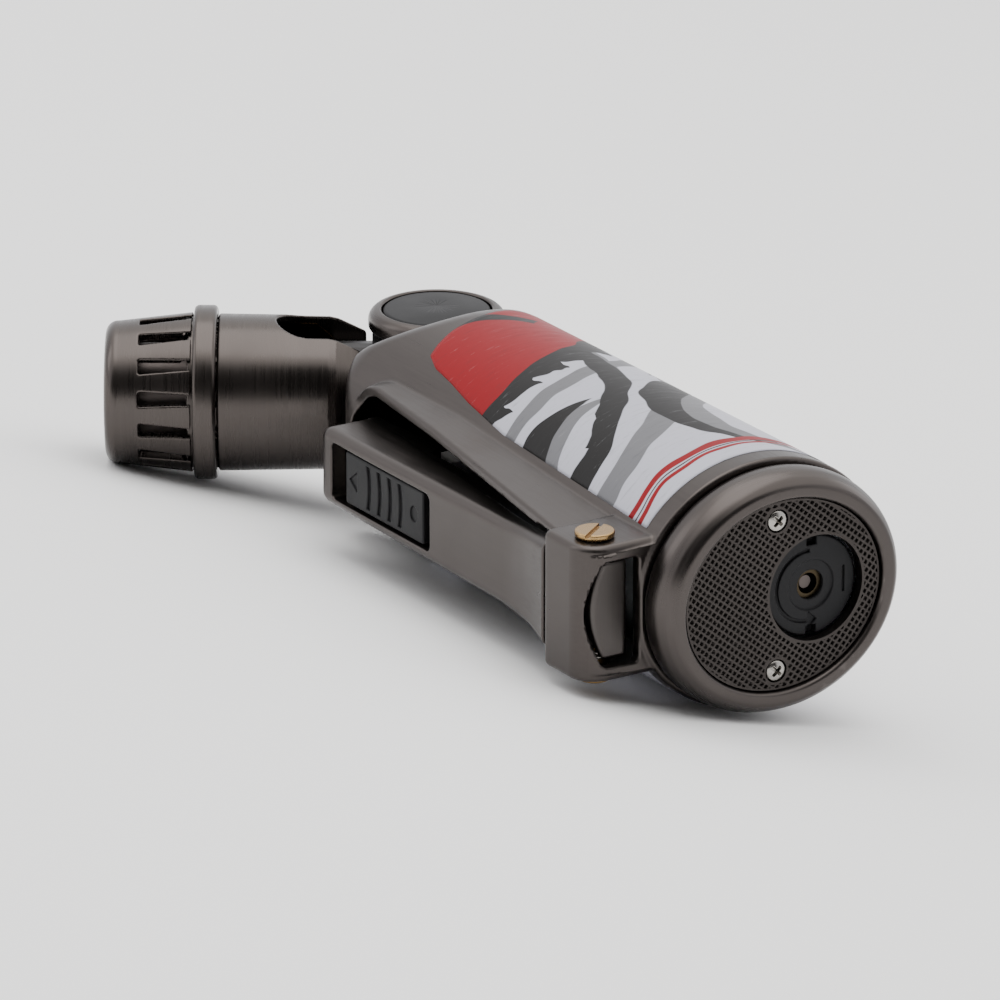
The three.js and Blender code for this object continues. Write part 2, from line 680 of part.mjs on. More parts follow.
function capRing(side) {
  const profile = [[6.85, 9.7], [7.9, 9.7], [7.9, LUG_LOW], [CAP_R, 8.8], [CAP_R, 10.0], [8.2, 10.65],
    [7.6, 11.0], [7.1, CAP_TOP], [6.85, 10.95], [6.85, 9.7]];
  const ring = toSolid(latheZ(profile.map(([r, z]) => [r, side * z]), HUB_X, HUB_Y, 40));
  const notch = side > 0 ? [8.1, 9.65] : [-9.65, -8.1];
  return toGeometry(ring.subtract(toSolid(box(HUB_X - 5.1, HUB_X + 5.1, 66, HUB_Y - 5, ...notch))));
}

function capInsert(side) {
  const profile = [[0, 9.7], [6.7, 9.7], [6.7, 10.8], [6.4, 11.0], [3.7, 11.25], [0, 11.35]];
  return latheZ(profile.map(([r, z]) => [r, side * z]), HUB_X, HUB_Y, 36);
}

// ---------------------------------------------------------------- burner head, local +Y is its axis

function nozzleHub() {
  let solid = toSolid(rodZ(HUB_R, -HUB_HALF, HUB_HALF, 0, 0, 40));
  solid = solid.add(toSolid(rodY(6.4, 2, 13.0, 0, 0, 32)));
  solid = solid.subtract(toSolid(rodY(5.2, 4.3, 16, 0, 0, 28)));
  solid = solid.subtract(toSolid(rodY(1.3, 2, 6, 0, 0, 14)));
  solid = solid.subtract(toSolid(rodZ(PIN_R + 0.08, -12, 12, 0, 0, 28)));
  return toGeometry(solid);
}

function nozzleBarrel() {
  let solid = toSolid(latheY([[6.6, 8.8], [7.9, 8.8], [9.3, 12.3], [BARREL_R, 13.3], [9.75, BARREL_END],
    [9.3, BARREL_END], [9.3, 30.7], [8.5, 30.7], [8.5, 15], [6.6, 12.6], [6.6, 8.8]], 0, 0, 40));
  const slot = new THREE.Shape();
  const half = 4.2;
  const round = 15.6;
  slot.moveTo(-half, 5);
  slot.lineTo(half, 5);
  slot.lineTo(half, round);
  slot.absarc(0, round, half, 0, Math.PI, false);
  solid = solid.subtract(toSolid(plate(slot, 2, 14, 8)));
  return toGeometry(solid);
}

function collarRing() {
  return latheY([[9.5, COLLAR_START], [10.45, COLLAR_START], [COLLAR_R, COLLAR_START + 0.4],
    [COLLAR_R, COLLAR_END - 0.4], [10.45, COLLAR_END], [9.5, COLLAR_END], [9.5, COLLAR_START]], 0, 0, 40);
}

function noseCap() {
  let solid = toSolid(latheY([[9.5, NOSE_START], [9.9, NOSE_START], [8.85, 39.3], [8.4, 40.4],
    [7.5, NOSE_END], [6.9, NOSE_END], [6.9, 40.1], [7.6, 39.2], [8.55, 31.5], [9.5, 31.2],
    [9.5, NOSE_START]], 0, 0, 42));
  for (let i = 0; i < NOSE_SLOTS; i++) {
    const slot = box(-0.8, 0.8, 30.95, 36.7, 6.5, 11);
    slot.rotateY((2 * Math.PI * i) / NOSE_SLOTS);
    solid = solid.subtract(toSolid(slot));
  }
  return toGeometry(solid);
}

function burnerTube() {
  let solid = toSolid(latheY([[2.3, 19.9], [8.3, 19.9], [8.3, 21.0], [6.1, 21.4], [6.1, 38.6], [5.5, 38.6],
    [5.5, 22.2], [2.3, 21.6], [2.3, 19.9]], 0, 0, 28));
  solid = solid.subtract(toSolid(rodY(1.35, 17, 25, 0, ELECTRODE_Z, 14)));
  return toGeometry(solid);
}

function flameMesh() {
  let solid = toSolid(rodY(5.25, 33.0, 33.6, 0, 0, 24));
  for (const [ring, count] of [[0, 1], [3.2, 6]]) {
    for (let i = 0; i < count; i++) {
      const angle = (2 * Math.PI * (i + 0.5)) / count;
      const [x, z] = [ring * Math.cos(angle), ring * Math.sin(angle)];
      solid = solid.subtract(toSolid(rodY(0.9, 32, 35, x, z, 6)));
    }
  }
  return toGeometry(solid);
}

function jet() {
  return latheY([[0.3, 14.6], [1.9, 14.6], [1.9, 19.4], [2.15, 19.4], [2.15, 22.6], [1.0, 24.2], [0.3, 24.2],
    [0.3, 14.6]], 0, 0, 16);
}

function gasFeedTube() {
  return latheY([[0.45, 3.5], [0.95, 3.5], [0.95, 14.4], [0.45, 14.4], [0.45, 3.5]], 0, 0, 12);
}

function electrodeInsulator() {
  return latheY([[0.45, 17.4], [1.15, 17.4], [1.15, 27.6], [0.45, 28.2], [0.45, 17.4]], 0, ELECTRODE_Z, 12);
}

function electrode() {
  return rodY(0.35, 16.6, 32.4, 0, ELECTRODE_Z, 8);
}

// ---------------------------------------------------------------- assembly

add('housing', housing(), gunmetal);
add('label_wrap', labelSolid(-0.25, -0.05, 0), labelFilm);
add('base_ring', baseRing(), gunmetal);
add('base_plate', basePlate(), gunmetal);
add('base_screw_upper', baseScrew(SCREW_Z), nickel);
add('base_screw_lower', baseScrew(-SCREW_Z), nickel);
add('adjuster_wheel', adjusterWheel(), blackPlastic);
add('filler_valve_body', fillerValveBody(), brass);
add('filler_valve_stem', fillerValveStem(), nickel);
add('filler_seal_ring', fillerSealRing(), rubber);
add('gas_tank', gasTank(), tankPlastic);
add('release_valve_body', releaseValveBody(), brass);
add('release_valve_stem', releaseValveStem(), nickel);
add('valve_bracket', valveBracket(), darkSteel);
add('valve_rocker', valveRocker(), nickel);
add('rocker_pin', rodZ(0.7, -4.2, 4.2, ROCKER_X, ROCKER_Y, 14), darkSteel);
add('gas_hose', gasHose(), rubber);
add('igniter_lead', igniterLead(), rubber);
add('piezo_body', piezoBody(), blackPlastic);
add('piezo_plunger', piezoPlunger(), ceramic);
add('trigger_lever', leverShell(), gunmetal);
add('lever_core', leverCore(), darkSteel);
add('lever_pivot_screw', pivotScrew(), brass);
add('lever_return_spring', returnSpring(), nickel);
add('lock_slider', lockSlider(), blackPlastic);
add('detent_plate', detentPlate(), nickel);
add('head_frame', headFrame(), darkSteel);
add('swivel_pin', rodZ(PIN_R, -9.45, 9.45, HUB_X, HUB_Y, 28), darkSteel);
add('cap_ring_upper', capRing(1), gunmetal);
add('cap_ring_lower', capRing(-1), gunmetal);
add('cap_insert_upper', capInsert(1), blackPlastic);
add('cap_insert_lower', capInsert(-1), blackPlastic);
add('nozzle_hub', nozzleHub(), darkSteel, nozzle);
add('nozzle_barrel', nozzleBarrel(), gunmetal, nozzle);
add('collar_ring', collarRing(), gunmetal, nozzle);
add('nose_cap', noseCap(), gunmetal, nozzle);
add('burner_tube', burnerTube(), nickel, nozzle);
add('flame_mesh', flameMesh(), darkSteel, nozzle);
add('jet', jet(), brass, nozzle);
add('gas_feed_tube', gasFeedTube(), nickel, nozzle);
add('electrode_insulator', electrodeInsulator(), ceramic, nozzle);
add('electrode', electrode(), nickel, nozzle);

nozzle.position.set(HUB_X, HUB_Y, 0);
nozzle.rotation.z = THREE.MathUtils.degToRad(NOZZLE_ANGLE);
root.add(nozzle);
root.rotation.y = THREE.MathUtils.degToRad(REST_ROLL);

const lighter = new THREE.Group();
lighter.add(root);
lighter.updateMatrixWorld(true);
const bounds = new THREE.Box3().setFromObject(lighter, true);
const middle = bounds.getCenter(new THREE.Vector3());
lighter.position.set(-middle.x, -middle.y, -bounds.min.z);

export default lighter;
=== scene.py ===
"""Looks for the pocket torch lighter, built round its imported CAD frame.

Lengths in this file are millimetres in the lighter's own frame: +Y from the base to the head, -X to
the lever, Z along the lever's pivot. OWN places that frame in the row frame, and NOZZLE places the
burner head's, whose +Y runs along the nozzle. Finished pieces are in metres in the row frame.
"""

import math

import bpy
import numpy as np
from mathutils import Matrix, Vector


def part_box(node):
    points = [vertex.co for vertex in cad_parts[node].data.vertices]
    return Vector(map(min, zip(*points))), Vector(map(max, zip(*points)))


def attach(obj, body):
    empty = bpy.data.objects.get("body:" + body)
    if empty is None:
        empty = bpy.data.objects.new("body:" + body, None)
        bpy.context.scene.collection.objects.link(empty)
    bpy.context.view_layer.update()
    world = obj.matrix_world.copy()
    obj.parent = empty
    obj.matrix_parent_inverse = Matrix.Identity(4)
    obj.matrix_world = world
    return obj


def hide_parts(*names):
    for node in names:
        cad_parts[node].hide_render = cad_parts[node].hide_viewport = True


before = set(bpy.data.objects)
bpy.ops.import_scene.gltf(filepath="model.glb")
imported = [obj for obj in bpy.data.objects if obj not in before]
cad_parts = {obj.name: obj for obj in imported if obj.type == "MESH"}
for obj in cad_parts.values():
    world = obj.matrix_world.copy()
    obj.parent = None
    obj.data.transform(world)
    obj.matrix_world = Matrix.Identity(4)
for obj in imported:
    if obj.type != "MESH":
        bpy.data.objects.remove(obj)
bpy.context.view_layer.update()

# ------------------------------------------------------------------ frames and shared dimensions

ROLL = -14.0
SWING = 57.5
HUB = np.array([3.7, 82.7, 0.0])
BODY_A, BODY_B = 17.2, 15.3
BODY_START = 4.6
SHOULDER, SHOULDER_R = 67.3, 6.0
RAIL_END = 71.5
PIVOT = (-20.3, 9.1)
WHEEL_X = 4.6
SCREW_X, SCREW_Z = -0.9, 9.3

pin_low, pin_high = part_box("swivel_pin")
TURN = np.array(Matrix.Rotation(math.radians(ROLL), 3, "Y"))
SHIFT = np.array((pin_low + pin_high) / 2) * 1000 - TURN @ HUB
NOZZLE_TURN = TURN @ np.array(Matrix.Rotation(math.radians(SWING), 3, "Z"))
NOZZLE_SHIFT = TURN @ HUB + SHIFT
OWN = (TURN, SHIFT)
NOZZLE = (NOZZLE_TURN, NOZZLE_SHIFT)


# ------------------------------------------------------------------ distance functions

def smin(a, b, k):
    h = np.clip(0.5 + 0.5 * (b - a) / k, 0, 1)
    return b + (a - b) * h - k * h * (1 - h)


def smax(a, b, k):
    return -smin(-a, -b, k)


def round_both(a, b, r):
    """Intersection of two distances whose shared edge has radius r."""
    p, q = np.maximum(a + r, 0), np.maximum(b + r, 0)
    return np.minimum(np.maximum(a + r, b + r), 0) + np.sqrt(p * p + q * q) - r


def oval(x, z, a, b):
    k0 = np.sqrt((x / a) ** 2 + (z / b) ** 2) + 1e-9
    k1 = np.sqrt((x / a**2) ** 2 + (z / b**2) ** 2) + 1e-9
    return k0 * (k0 - 1) / k1


def slab(v, low, high):
    return np.abs(v - (low + high) / 2) - (high - low) / 2


def brick(x, y, z, lim, r=0.3):
    """A box with limits (x0, x1, y0, y1, z0, z1) and edges of radius r."""
    q = [slab(v, lim[2 * i], lim[2 * i + 1]) + r for i, v in enumerate((x, y, z))]
    out = sum(np.maximum(v, 0) ** 2 for v in q) ** 0.5
    return out + np.minimum(np.maximum(np.maximum(q[0], q[1]), q[2]), 0) - r


def lerp_table(v, keys, values):
    return np.interp(v, keys, values)


# ------------------------------------------------------------------ mesh making

def make(name, points, faces, place=OWN, normals=None, uv=None):
    """An object from points in mm and an array of faces with equally many corners."""
    turn, shift = place
    world = (np.asarray(points, float) @ turn.T + shift) / 1000
    mesh = bpy.data.meshes.new(name)
    mesh.vertices.add(len(world))
    mesh.vertices.foreach_set("co", world.astype(np.float32).ravel())
    count, corners = faces.shape
    mesh.loops.add(faces.size)
    mesh.loops.foreach_set("vertex_index", faces.ravel().astype(np.int32))
    mesh.polygons.add(count)
    mesh.polygons.foreach_set("loop_start", np.arange(0, count * corners, corners, dtype=np.int32))
    mesh.update(calc_edges=True)
    mesh.validate()
    mesh.polygons.foreach_set("use_smooth", np.ones(len(mesh.polygons), bool))
    if uv is not None:
        layer = mesh.uv_layers.new(name="print")
        index = np.zeros(len(mesh.loops), np.int32)
        mesh.loops.foreach_get("vertex_index", index)
        layer.data.foreach_set("uv", np.asarray(uv, np.float32)[index].ravel())
    if normals is not None:
        mesh.normals_split_custom_set_from_vertices((np.asarray(normals) @ turn.T).astype(np.float32).tolist())
    obj = bpy.data.objects.new(name, mesh)
    bpy.context.scene.collection.objects.link(obj)
    return obj


def gradient(f, p, h=0.02):
    """Slope of f at the points, from differences over h on either side."""
    g = np.empty_like(p)
    for i in range(3):
        step = np.zeros(3)
        step[i] = h
        up, down = p + step, p - step
        g[:, i] = (f(*up.T) - f(*down.T)) / (2 * h)
    return g


def net(f, low, high, step):
    """Surface of f = 0 as quads on a grid of the step, with its points moved on to the surface."""
    low, high = np.array(low, float), np.array(high, float)
    count = np.ceil((high - low) / step).astype(int) + 1
    axes = [low[i] + step * np.arange(count[i]) for i in range(3)]
    value = f(*np.meshgrid(*axes, indexing="ij", sparse=True)).astype(np.float32)
    inside = value < 0
    corners = [(i, j, k) for i in (0, 1) for j in (0, 1) for k in (0, 1)]
    size = [c - 1 for c in count]
    part = lambda a, c: a[c[0]:c[0] + size[0], c[1]:c[1] + size[1], c[2]:c[2] + size[2]]
    total = sum(part(inside, c).astype(np.int8) for c in corners)
    active = (total > 0) & (total < 8)
    cells = np.argwhere(active)
    number = np.full(active.shape, -1, np.int64)
    number[active] = np.arange(len(cells))
    weight = np.zeros(len(cells))
    where = np.zeros((len(cells), 3))
    at = lambda c: value[tuple((cells + c).T)]
    for a in corners:
        for axis in range(3):
            if a[axis]:
                continue
            b = tuple(v + (1 if i == axis else 0) for i, v in enumerate(a))
            va, vb = at(a), at(b)
            cross = (va < 0) != (vb < 0)
            t = np.where(cross, va / np.where(va == vb, 1, va - vb), 0)
            where[cross] += np.array(a) + t[cross, None] * (np.array(b) - np.array(a))
            weight += cross
    p = low + step * (cells + where / weight[:, None])
    for _ in range(5):
        g = gradient(f, p)
        move = (f(*p.T) / np.maximum((g * g).sum(1), 0.25))[:, None] * g
        p -= np.clip(move, -step / 2, step / 2)
    quads = []
    for axis in range(3):
        u, v = (axis + 1) % 3, (axis + 2) % 3
        span = [slice(None)] * 3
        span[axis] = slice(0, -1)
        first = inside[tuple(span)]
        span[axis] = slice(1, None)
        second = inside[tuple(span)]
        edge = np.argwhere(first != second)
        edge = edge[(edge[:, u] > 0) & (edge[:, v] > 0) & (edge[:, u] < size[u]) & (edge[:, v] < size[v])]
        du, dv = np.zeros(3, int), np.zeros(3, int)
        du[u], dv[v] = 1, 1
        ring = [number[tuple((edge - o).T)] for o in (du + dv, dv, 0 * du, du)]
        quad = np.stack(ring, 1)
        outward = first[tuple(edge.T)]
        quad[~outward] = quad[~outward][:, ::-1]
        quads.append(quad)
    normal = gradient(f, p)
    normal /= np.linalg.norm(normal, axis=1)[:, None] + 1e-12
    return p, np.concatenate(quads), normal


def solid(name, f, low, high, step, place=OWN):
    """The object where f is negative, inside the box from low to high."""
    p, quads, normal = net(f, low, high, step)
    return make(name, p, quads, place, normals=normal)


def rounded(profile, radius=0.25, steps=4):
    """The closed [r, y] profile with its corners rounded."""
    points = [np.array(p, float) for p in profile]
    result = []
    for i, p in enumerate(points):
        before, after = points[i - 1], points[(i + 1) % len(points)]
        a, b = before - p, after - p
        la, lb = np.linalg.norm(a), np.linalg.norm(b)
        r = min(radius, la * 0.45, lb * 0.45)
        if p[0] < 1e-6 or r < 0.01:
            result.append(p)
            continue
        start, end = p + a / la * r, p + b / lb * r
        for k in range(steps + 1):
            t = k / steps
            result.append((1 - t) ** 2 * start + 2 * t * (1 - t) * p + t * t * end)
    return result


def lathe(name, profile, radius=0.25, segments=128, place=OWN, centre=(0, 0, 0), axis="Y", steps=4):
    """A solid of revolution about Y or Z through the centre from a closed profile."""
    ring = rounded(profile, radius, steps)
    angle = np.linspace(0, 2 * np.pi, segments, endpoint=False)
    r = np.array([max(p[0], 1e-5) for p in ring])
    y = np.array([p[1] for p in ring])
    c, s = np.cos(angle)[:, None], np.sin(angle)[:, None]
    grid = [r * c, y + 0 * c, r * s] if axis == "Y" else [r * c, r * s, y + 0 * c]
    points = np.stack(grid, -1).reshape(-1, 3) + np.array(centre, float)
    return make(name, points, wrap(segments, len(ring), points), place)


def wrap(rows, columns, points):
    """Quads of a closed grid, facing out."""
    i, j = np.meshgrid(np.arange(rows), np.arange(columns), indexing="ij")
    i1, j1 = (i + 1) % rows, (j + 1) % columns
    here, there = i * columns, i1 * columns
    quads = np.stack([here + j, here + j1, there + j1, there + j], -1).reshape(-1, 4)
    a, b, c = (points[quads[:, k]] for k in (0, 1, 2))
    d = points[quads[:, 3]]
    volume = (a * np.cross(b, c)).sum() + (a * np.cross(c, d)).sum()
    return quads if volume > 0 else quads[:, ::-1]


WIRE_TIP = 1e-4


def sweep(name, path, radius, around=12):
    """A round wire along the path, closed by drawing its two ends in to a point."""
    path = np.asarray(path, float)
    tangent = np.gradient(path, axis=0)
    tangent /= np.linalg.norm(tangent, axis=1)[:, None]
    side = np.cross(tangent, [0, 0, 1.0])
    side /= np.linalg.norm(side, axis=1)[:, None]
    upward = np.cross(side, tangent)
    turn = np.linspace(0, 2 * np.pi, around, endpoint=False)[None, :, None]
    width = np.full(len(path), radius)
    width[[0, -1]] = WIRE_TIP
    spoke = np.cos(turn) * side[:, None] + np.sin(turn) * upward[:, None]
    rings = path[:, None] + width[:, None, None] * spoke
    points = rings.reshape(-1, 3)
    i, j = np.meshgrid(np.arange(len(path) - 1), np.arange(around), indexing="ij")
    j1 = (j + 1) % around
    here, there = i * around, (i + 1) * around
    quads = np.stack([here + j, here + j1, there + j1, there + j], -1).reshape(-1, 4)
    return make(name, points, quads)


def crease(obj, degrees=35):
    """Smooth shading that breaks at sharp edges."""
    obj.data.set_sharp_from_angle(angle=math.radians(degrees))


# ------------------------------------------------------------------ materials

class Graph:
    """A material and short ways to add its nodes."""

    def __init__(self, name):
        self.material = bpy.data.materials.new(name)
        self.material.use_nodes = True
        self.tree = self.material.node_tree
        self.shader = self.tree.nodes["Principled BSDF"]

    def node(self, kind, inputs=(), **settings):
        node = self.tree.nodes.new("ShaderNode" + kind)
        for key, value in settings.items():
            setattr(node, key, value)
        for key, value in dict(inputs).items():
            self.put(node.inputs[key], value)
        return node

    def put(self, socket, value):
        if isinstance(value, bpy.types.NodeSocket):
            self.tree.links.new(value, socket)
        else:
            socket.default_value = value

    def math(self, operation, *values, clamp=False):
        node = self.node("Math", operation=operation, use_clamp=clamp)
        for i, value in enumerate(values):
            self.put(node.inputs[i], value)
        return node.outputs[0]

    def ramp(self, value, low, high, out_low=0.0, out_high=1.0):
        inputs = {"Value": value, "From Min": low, "From Max": high, "To Min": out_low, "To Max": out_high}
        return self.node("MapRange", inputs, clamp=True).outputs[0]

    def mix(self, factor, a, b):
        node = self.node("Mix", data_type="RGBA", clamp_factor=True)
        self.put(node.inputs["Factor"], factor)
        self.put(node.inputs[6], a)
        self.put(node.inputs[7], b)
        return node.outputs[2]

    def place(self, turn, scale):
        """Object coordinates in a part's own frame, scaled."""
        where = self.node("TexCoord").outputs["Object"]
        euler = Matrix(turn.T.tolist()).to_euler()
        own = self.node("Mapping", {"Vector": where, "Rotation": euler}).outputs[0]
        return self.node("Mapping", {"Vector": own, "Scale": scale}).outputs[0]

    def noise(self, vector, scale, detail=3.0, rough=0.5):
        inputs = {"Vector": vector, "Scale": scale, "Detail": detail, "Roughness": rough}
        return self.node("TexNoise", inputs).outputs["Fac"]

    def bump(self, height, strength, distance):
        inputs = {"Height": height, "Strength": strength, "Distance": distance}
        self.put(self.shader.inputs["Normal"], self.node("Bump", inputs).outputs[0])


def rgb(r, g, b):
    return (r, g, b, 1.0)


def metal(name, color, rough, place=OWN, along=(1, 1, 1), brush=0.3, wear=0.35, bump=0.10, anisotropic=0.0):
    """Metal brushed along the axes whose entry in along is small."""
    g = Graph(name)
    shader = g.shader
    shader.inputs["Metallic"].default_value = 1.0
    if anisotropic:
        shader.inputs["Anisotropic"].default_value = anisotropic
    vector = g.place(place[0], along)
    lines = g.noise(vector, 2600.0, 4.0, 0.65)
    broad = g.noise(vector, 420.0, 2.0, 0.5)
    smudge = g.noise(g.place(place[0], (1, 1, 1)), 90.0, 3.0, 0.55)
    tone = g.math("ADD", g.math("MULTIPLY", g.ramp(lines, 0.3, 0.7), brush), g.math("MULTIPLY", broad, brush))
    dark = rgb(*(c * 0.8 for c in color))
    light = rgb(*(min(1, c * 1.12) for c in color))
    shade = g.mix(tone, dark, light)
    edge = g.node("NewGeometry").outputs["Pointiness"]
    worn = g.math("MULTIPLY", g.ramp(edge, 0.54, 0.66), wear)
    g.put(shader.inputs["Base Color"], g.mix(worn, shade, rgb(*(min(1, c * 1.5 + 0.03) for c in color))))
    spread = g.math("ADD", g.ramp(lines, 0.25, 0.75, rough - 0.05, rough + 0.08),
                    g.ramp(smudge, 0.35, 0.7, -0.04, 0.06))
    g.put(shader.inputs["Roughness"], spread)
    g.bump(lines, bump, 0.00002)
    return g.material


def plastic(name, color, rough, grain=0.3, grain_scale=2600.0, wear=0.3, specular=0.22):
    g = Graph(name)
    shader = g.shader
    shader.inputs["Specular IOR Level"].default_value = specular
    vector = g.place(TURN, (1, 1, 1))
    fine = g.noise(vector, grain_scale, 3.0, 0.6)
    cloud = g.noise(vector, 130.0, 3.0, 0.5)
    base = g.mix(g.ramp(cloud, 0.3, 0.7), rgb(*(c * 0.8 for c in color)), rgb(*(min(1, c * 1.2) for c in color)))
    edge = g.node("NewGeometry").outputs["Pointiness"]
    worn = g.math("MULTIPLY", g.ramp(edge, 0.55, 0.68), wear)
    g.put(shader.inputs["Base Color"], g.mix(worn, base, rgb(*(min(1, c * 1.6 + 0.02) for c in color))))
    g.put(shader.inputs["Roughness"], g.ramp(cloud, 0.3, 0.7, rough - 0.05, rough + 0.06))
    g.bump(fine, grain, 0.00003)
    return g.material


GUN = (0.080, 0.070, 0.066)
MATERIALS = {
    "case": metal("gunmetal_case", GUN, 0.33, OWN, (1.0, 0.05, 1.0), 0.25, bump=0.05),
    "ring": metal("gunmetal_ring", GUN, 0.30, OWN, (0.05, 1.0, 0.05), 0.35),
    "lever": metal("gunmetal_lever", GUN, 0.33, OWN, (1.0, 0.03, 1.0), 0.4),
    "plate": metal("gunmetal_plate", (0.060, 0.053, 0.050), 0.40, OWN, (1, 1, 1), 0.2, 0.2, 0.05),
    "nozzle": metal("gunmetal_nozzle", (0.084, 0.073, 0.068), 0.27, NOZZLE, (0.02, 1.0, 0.02), 0.30, 0.0, 0.05),
    "cap": metal("gunmetal_cap", GUN, 0.30, OWN, (0.05, 0.05, 1.0), 0.3),
    "dark_steel": metal("dark_steel", (0.035, 0.033, 0.033), 0.38, OWN, (1, 1, 1), 0.4),
    "nickel": metal("bright_nickel", (0.42, 0.40, 0.37), 0.22, OWN, (1, 1, 1), 0.08, 0.1, 0.03),
    "brass": metal("turned_brass", (0.42, 0.27, 0.12), 0.27, OWN, (1, 1, 1), 0.08, 0.1, 0.03),
    # heat-tinted steel, darkened further as painted shade for the burner tube seen through the nose slots and the
    # filler valve stem deep in the wheel's bore
    "heat_tint_and_painted_shade": metal("heat_tinted_steel_and_painted_shade", (0.10, 0.085, 0.080), 0.4, OWN, (1, 1, 1), 0.4, 0.1, 0.05),
    "heel": metal("polished_lever_core", (0.090, 0.081, 0.077), 0.34, OWN, (1, 1, 0.05), 0.3, 0.1, 0.05),
    # brass darkened nearly to black as painted shade for the filler valve body deep in the wheel's bore
    "brass_painted_shade": metal("brass_darkened_as_painted_shade", (0.05, 0.038, 0.022), 0.4, OWN, (1, 1, 1), 0.4, 0.1, 0.05),
    "black": plastic("black_plastic", (0.006, 0.006, 0.007), 0.5),
    "insert": plastic("satin_black_insert", (0.008, 0.008, 0.009), 0.5, 0.1, wear=0.0),
    "tank": plastic("tank_plastic", (0.55, 0.58, 0.60), 0.30, 0.1, 900.0),
    "rubber": plastic("black_rubber", (0.02, 0.02, 0.02), 0.75, 0.5),
    "ceramic": plastic("white_ceramic", (0.74, 0.71, 0.66), 0.55, 0.3),
}


def finish_piece(obj, body, look, slot, *nodes):
    obj.data.materials.clear()
    obj.data.materials.append(MATERIALS[look])
    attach(obj, body)
    if nodes:
        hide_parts(*nodes)
    return obj


# ------------------------------------------------------------------ housing

def shoulder_start(x):
    offset = x + 1
    rise = np.where(offset < 0, 0.052, 0.03) * offset**2
    return SHOULDER + smin(rise, 6.0, 1.2)


def body_form(x, y, z):
    side = oval(x, z, BODY_A, BODY_B)
    end = (y - shoulder_start(x) - SHOULDER_R) * 0.9
    form = round_both(side, end, SHOULDER_R)
    form = smax(form, round_both(-17.2 - x, y - 79.0, 12.5), 0.8)
    return round_both(form, BODY_START - y, 0.45)


def rail_gap(x, y, z, inset=0.0):
    """Distance outside the rails' half heights, which differ above and below."""
    top = 8.15 + 1.95 * np.clip((y - BODY_START) / 45, 0, 1)
    low = lerp_table(y, [4.6, 16, 22, 30, 50, 62], [8.15, 8.0, 7.4, 7.1, 8.2, 8.8])
    return np.abs(z) - np.where(z > 0, top, low) - (x + 8) / 16 + inset


def rail_outer(y):
    return lerp_table(y, [4.6, 14.5, 71.5], [-23.2, -22.1, -15.4])


def rail_form(x, y, z):
    profile = round_both(rail_gap(x, y, z), y - RAIL_END, 7.6)
    form = round_both(profile, rail_outer(y) - x, 0.5)
    form = np.maximum(form, round_both(-23.8 - x, BODY_START + 0.3 - y, 3.4))
    return np.maximum(form, x + 8)


def block_form(x, y, z):
    plan = round_both(-24.2 - x, 5.2 - y, 3.4)
    plan = round_both(plan, y - 14.5, 1.2)
    form = round_both(plan, np.abs(z) - 8.38, 0.8)
    return np.maximum(form, x + 10)


def housing_form(x, y, z):
    outside = smin(body_form(x, y, z), rail_form(x, y, z), 0.3)
    outside = smin(outside, block_form(x, y, z), 0.35)
    channel = round_both(rail_gap(x, y, z, 1.25), y - 70.1, 6.4)
    channel = smax(channel, 15.4 - y, 0.4)
    cavity = np.maximum(oval(x, z, BODY_A - 2.0, BODY_B - 2.0), y - 70)
    channel = np.maximum(channel, x + 11)
    fork = np.maximum(round_both(-23.1 - x, 6.3 - y, 2.3), np.maximum(x + 11, y - 20))
    fork = round_both(fork, np.abs(z) - 7, 0.4)
    bulge = -23.3 + 0.042 * z**2
    window = round_both(np.maximum(bulge - x, x + 16.8), np.abs(z) - 6.5, 0.6)
    window = np.maximum(window, slab(y, 2, 8.4))
    pocket = np.sqrt((x - HUB[0]) ** 2 + (y - HUB[1]) ** 2) - 8.8
    slot = np.maximum(slab(x, HUB[0] - 5.3, HUB[0] + 5.3), slab(np.abs(z), 8.1, 9.8))
    slot = np.maximum(slot, slab(y, 65, 80))
    duct = np.maximum(np.sqrt((x - 4.1) ** 2 + z**2) - 3.4, slab(y, 65, 80))
    hole = np.sqrt((x - PIVOT[0]) ** 2 + (y - PIVOT[1]) ** 2) - 1.65
    cut = np.minimum(np.minimum(channel, cavity), np.minimum(fork, window))
    cut = np.minimum(np.minimum(cut, pocket), np.minimum(slot, duct))
    return smax(outside, -np.minimum(cut, hole), 0.3)


STEP = 0.3  # grid of the housing, the largest piece
housing = solid("housing_skin", housing_form, (-25, 4.0, -16.2), (18, 80.5, 16.2), STEP)
finish_piece(housing, "case", "case", "gunmetal", "housing")

# ------------------------------------------------------------------ base

RING = [(15.35, -0.7), (16.15, 0.1), (16.7, 1.3), (16.87, 2.4), (16.8, 3.4), (16.55, 4.2), (16.3, 4.4), (15.9, 4.4),
        (15.9, 2.7), (12.4, 2.7), (12.4, 1.4), (13.75, 1.4), (13.75, -0.35), (14.05, -0.7)]


def base_ring():
    profile = rounded(RING, 0.4, 5)
    segments = 200
    angle = np.linspace(0, 2 * np.pi, segments, endpoint=False)[:, None]
    a = np.array([p[0] for p in profile])
    b = a - 1.95
    y = np.array([p[1] for p in profile])
    points = np.stack([a * np.cos(angle), y + 0 * angle, b * np.sin(angle)], -1).reshape(-1, 3)
    return make("base_ring_skin", points, wrap(segments, len(profile), points))


finish_piece(base_ring(), "case", "ring", "gunmetal", "base_ring")


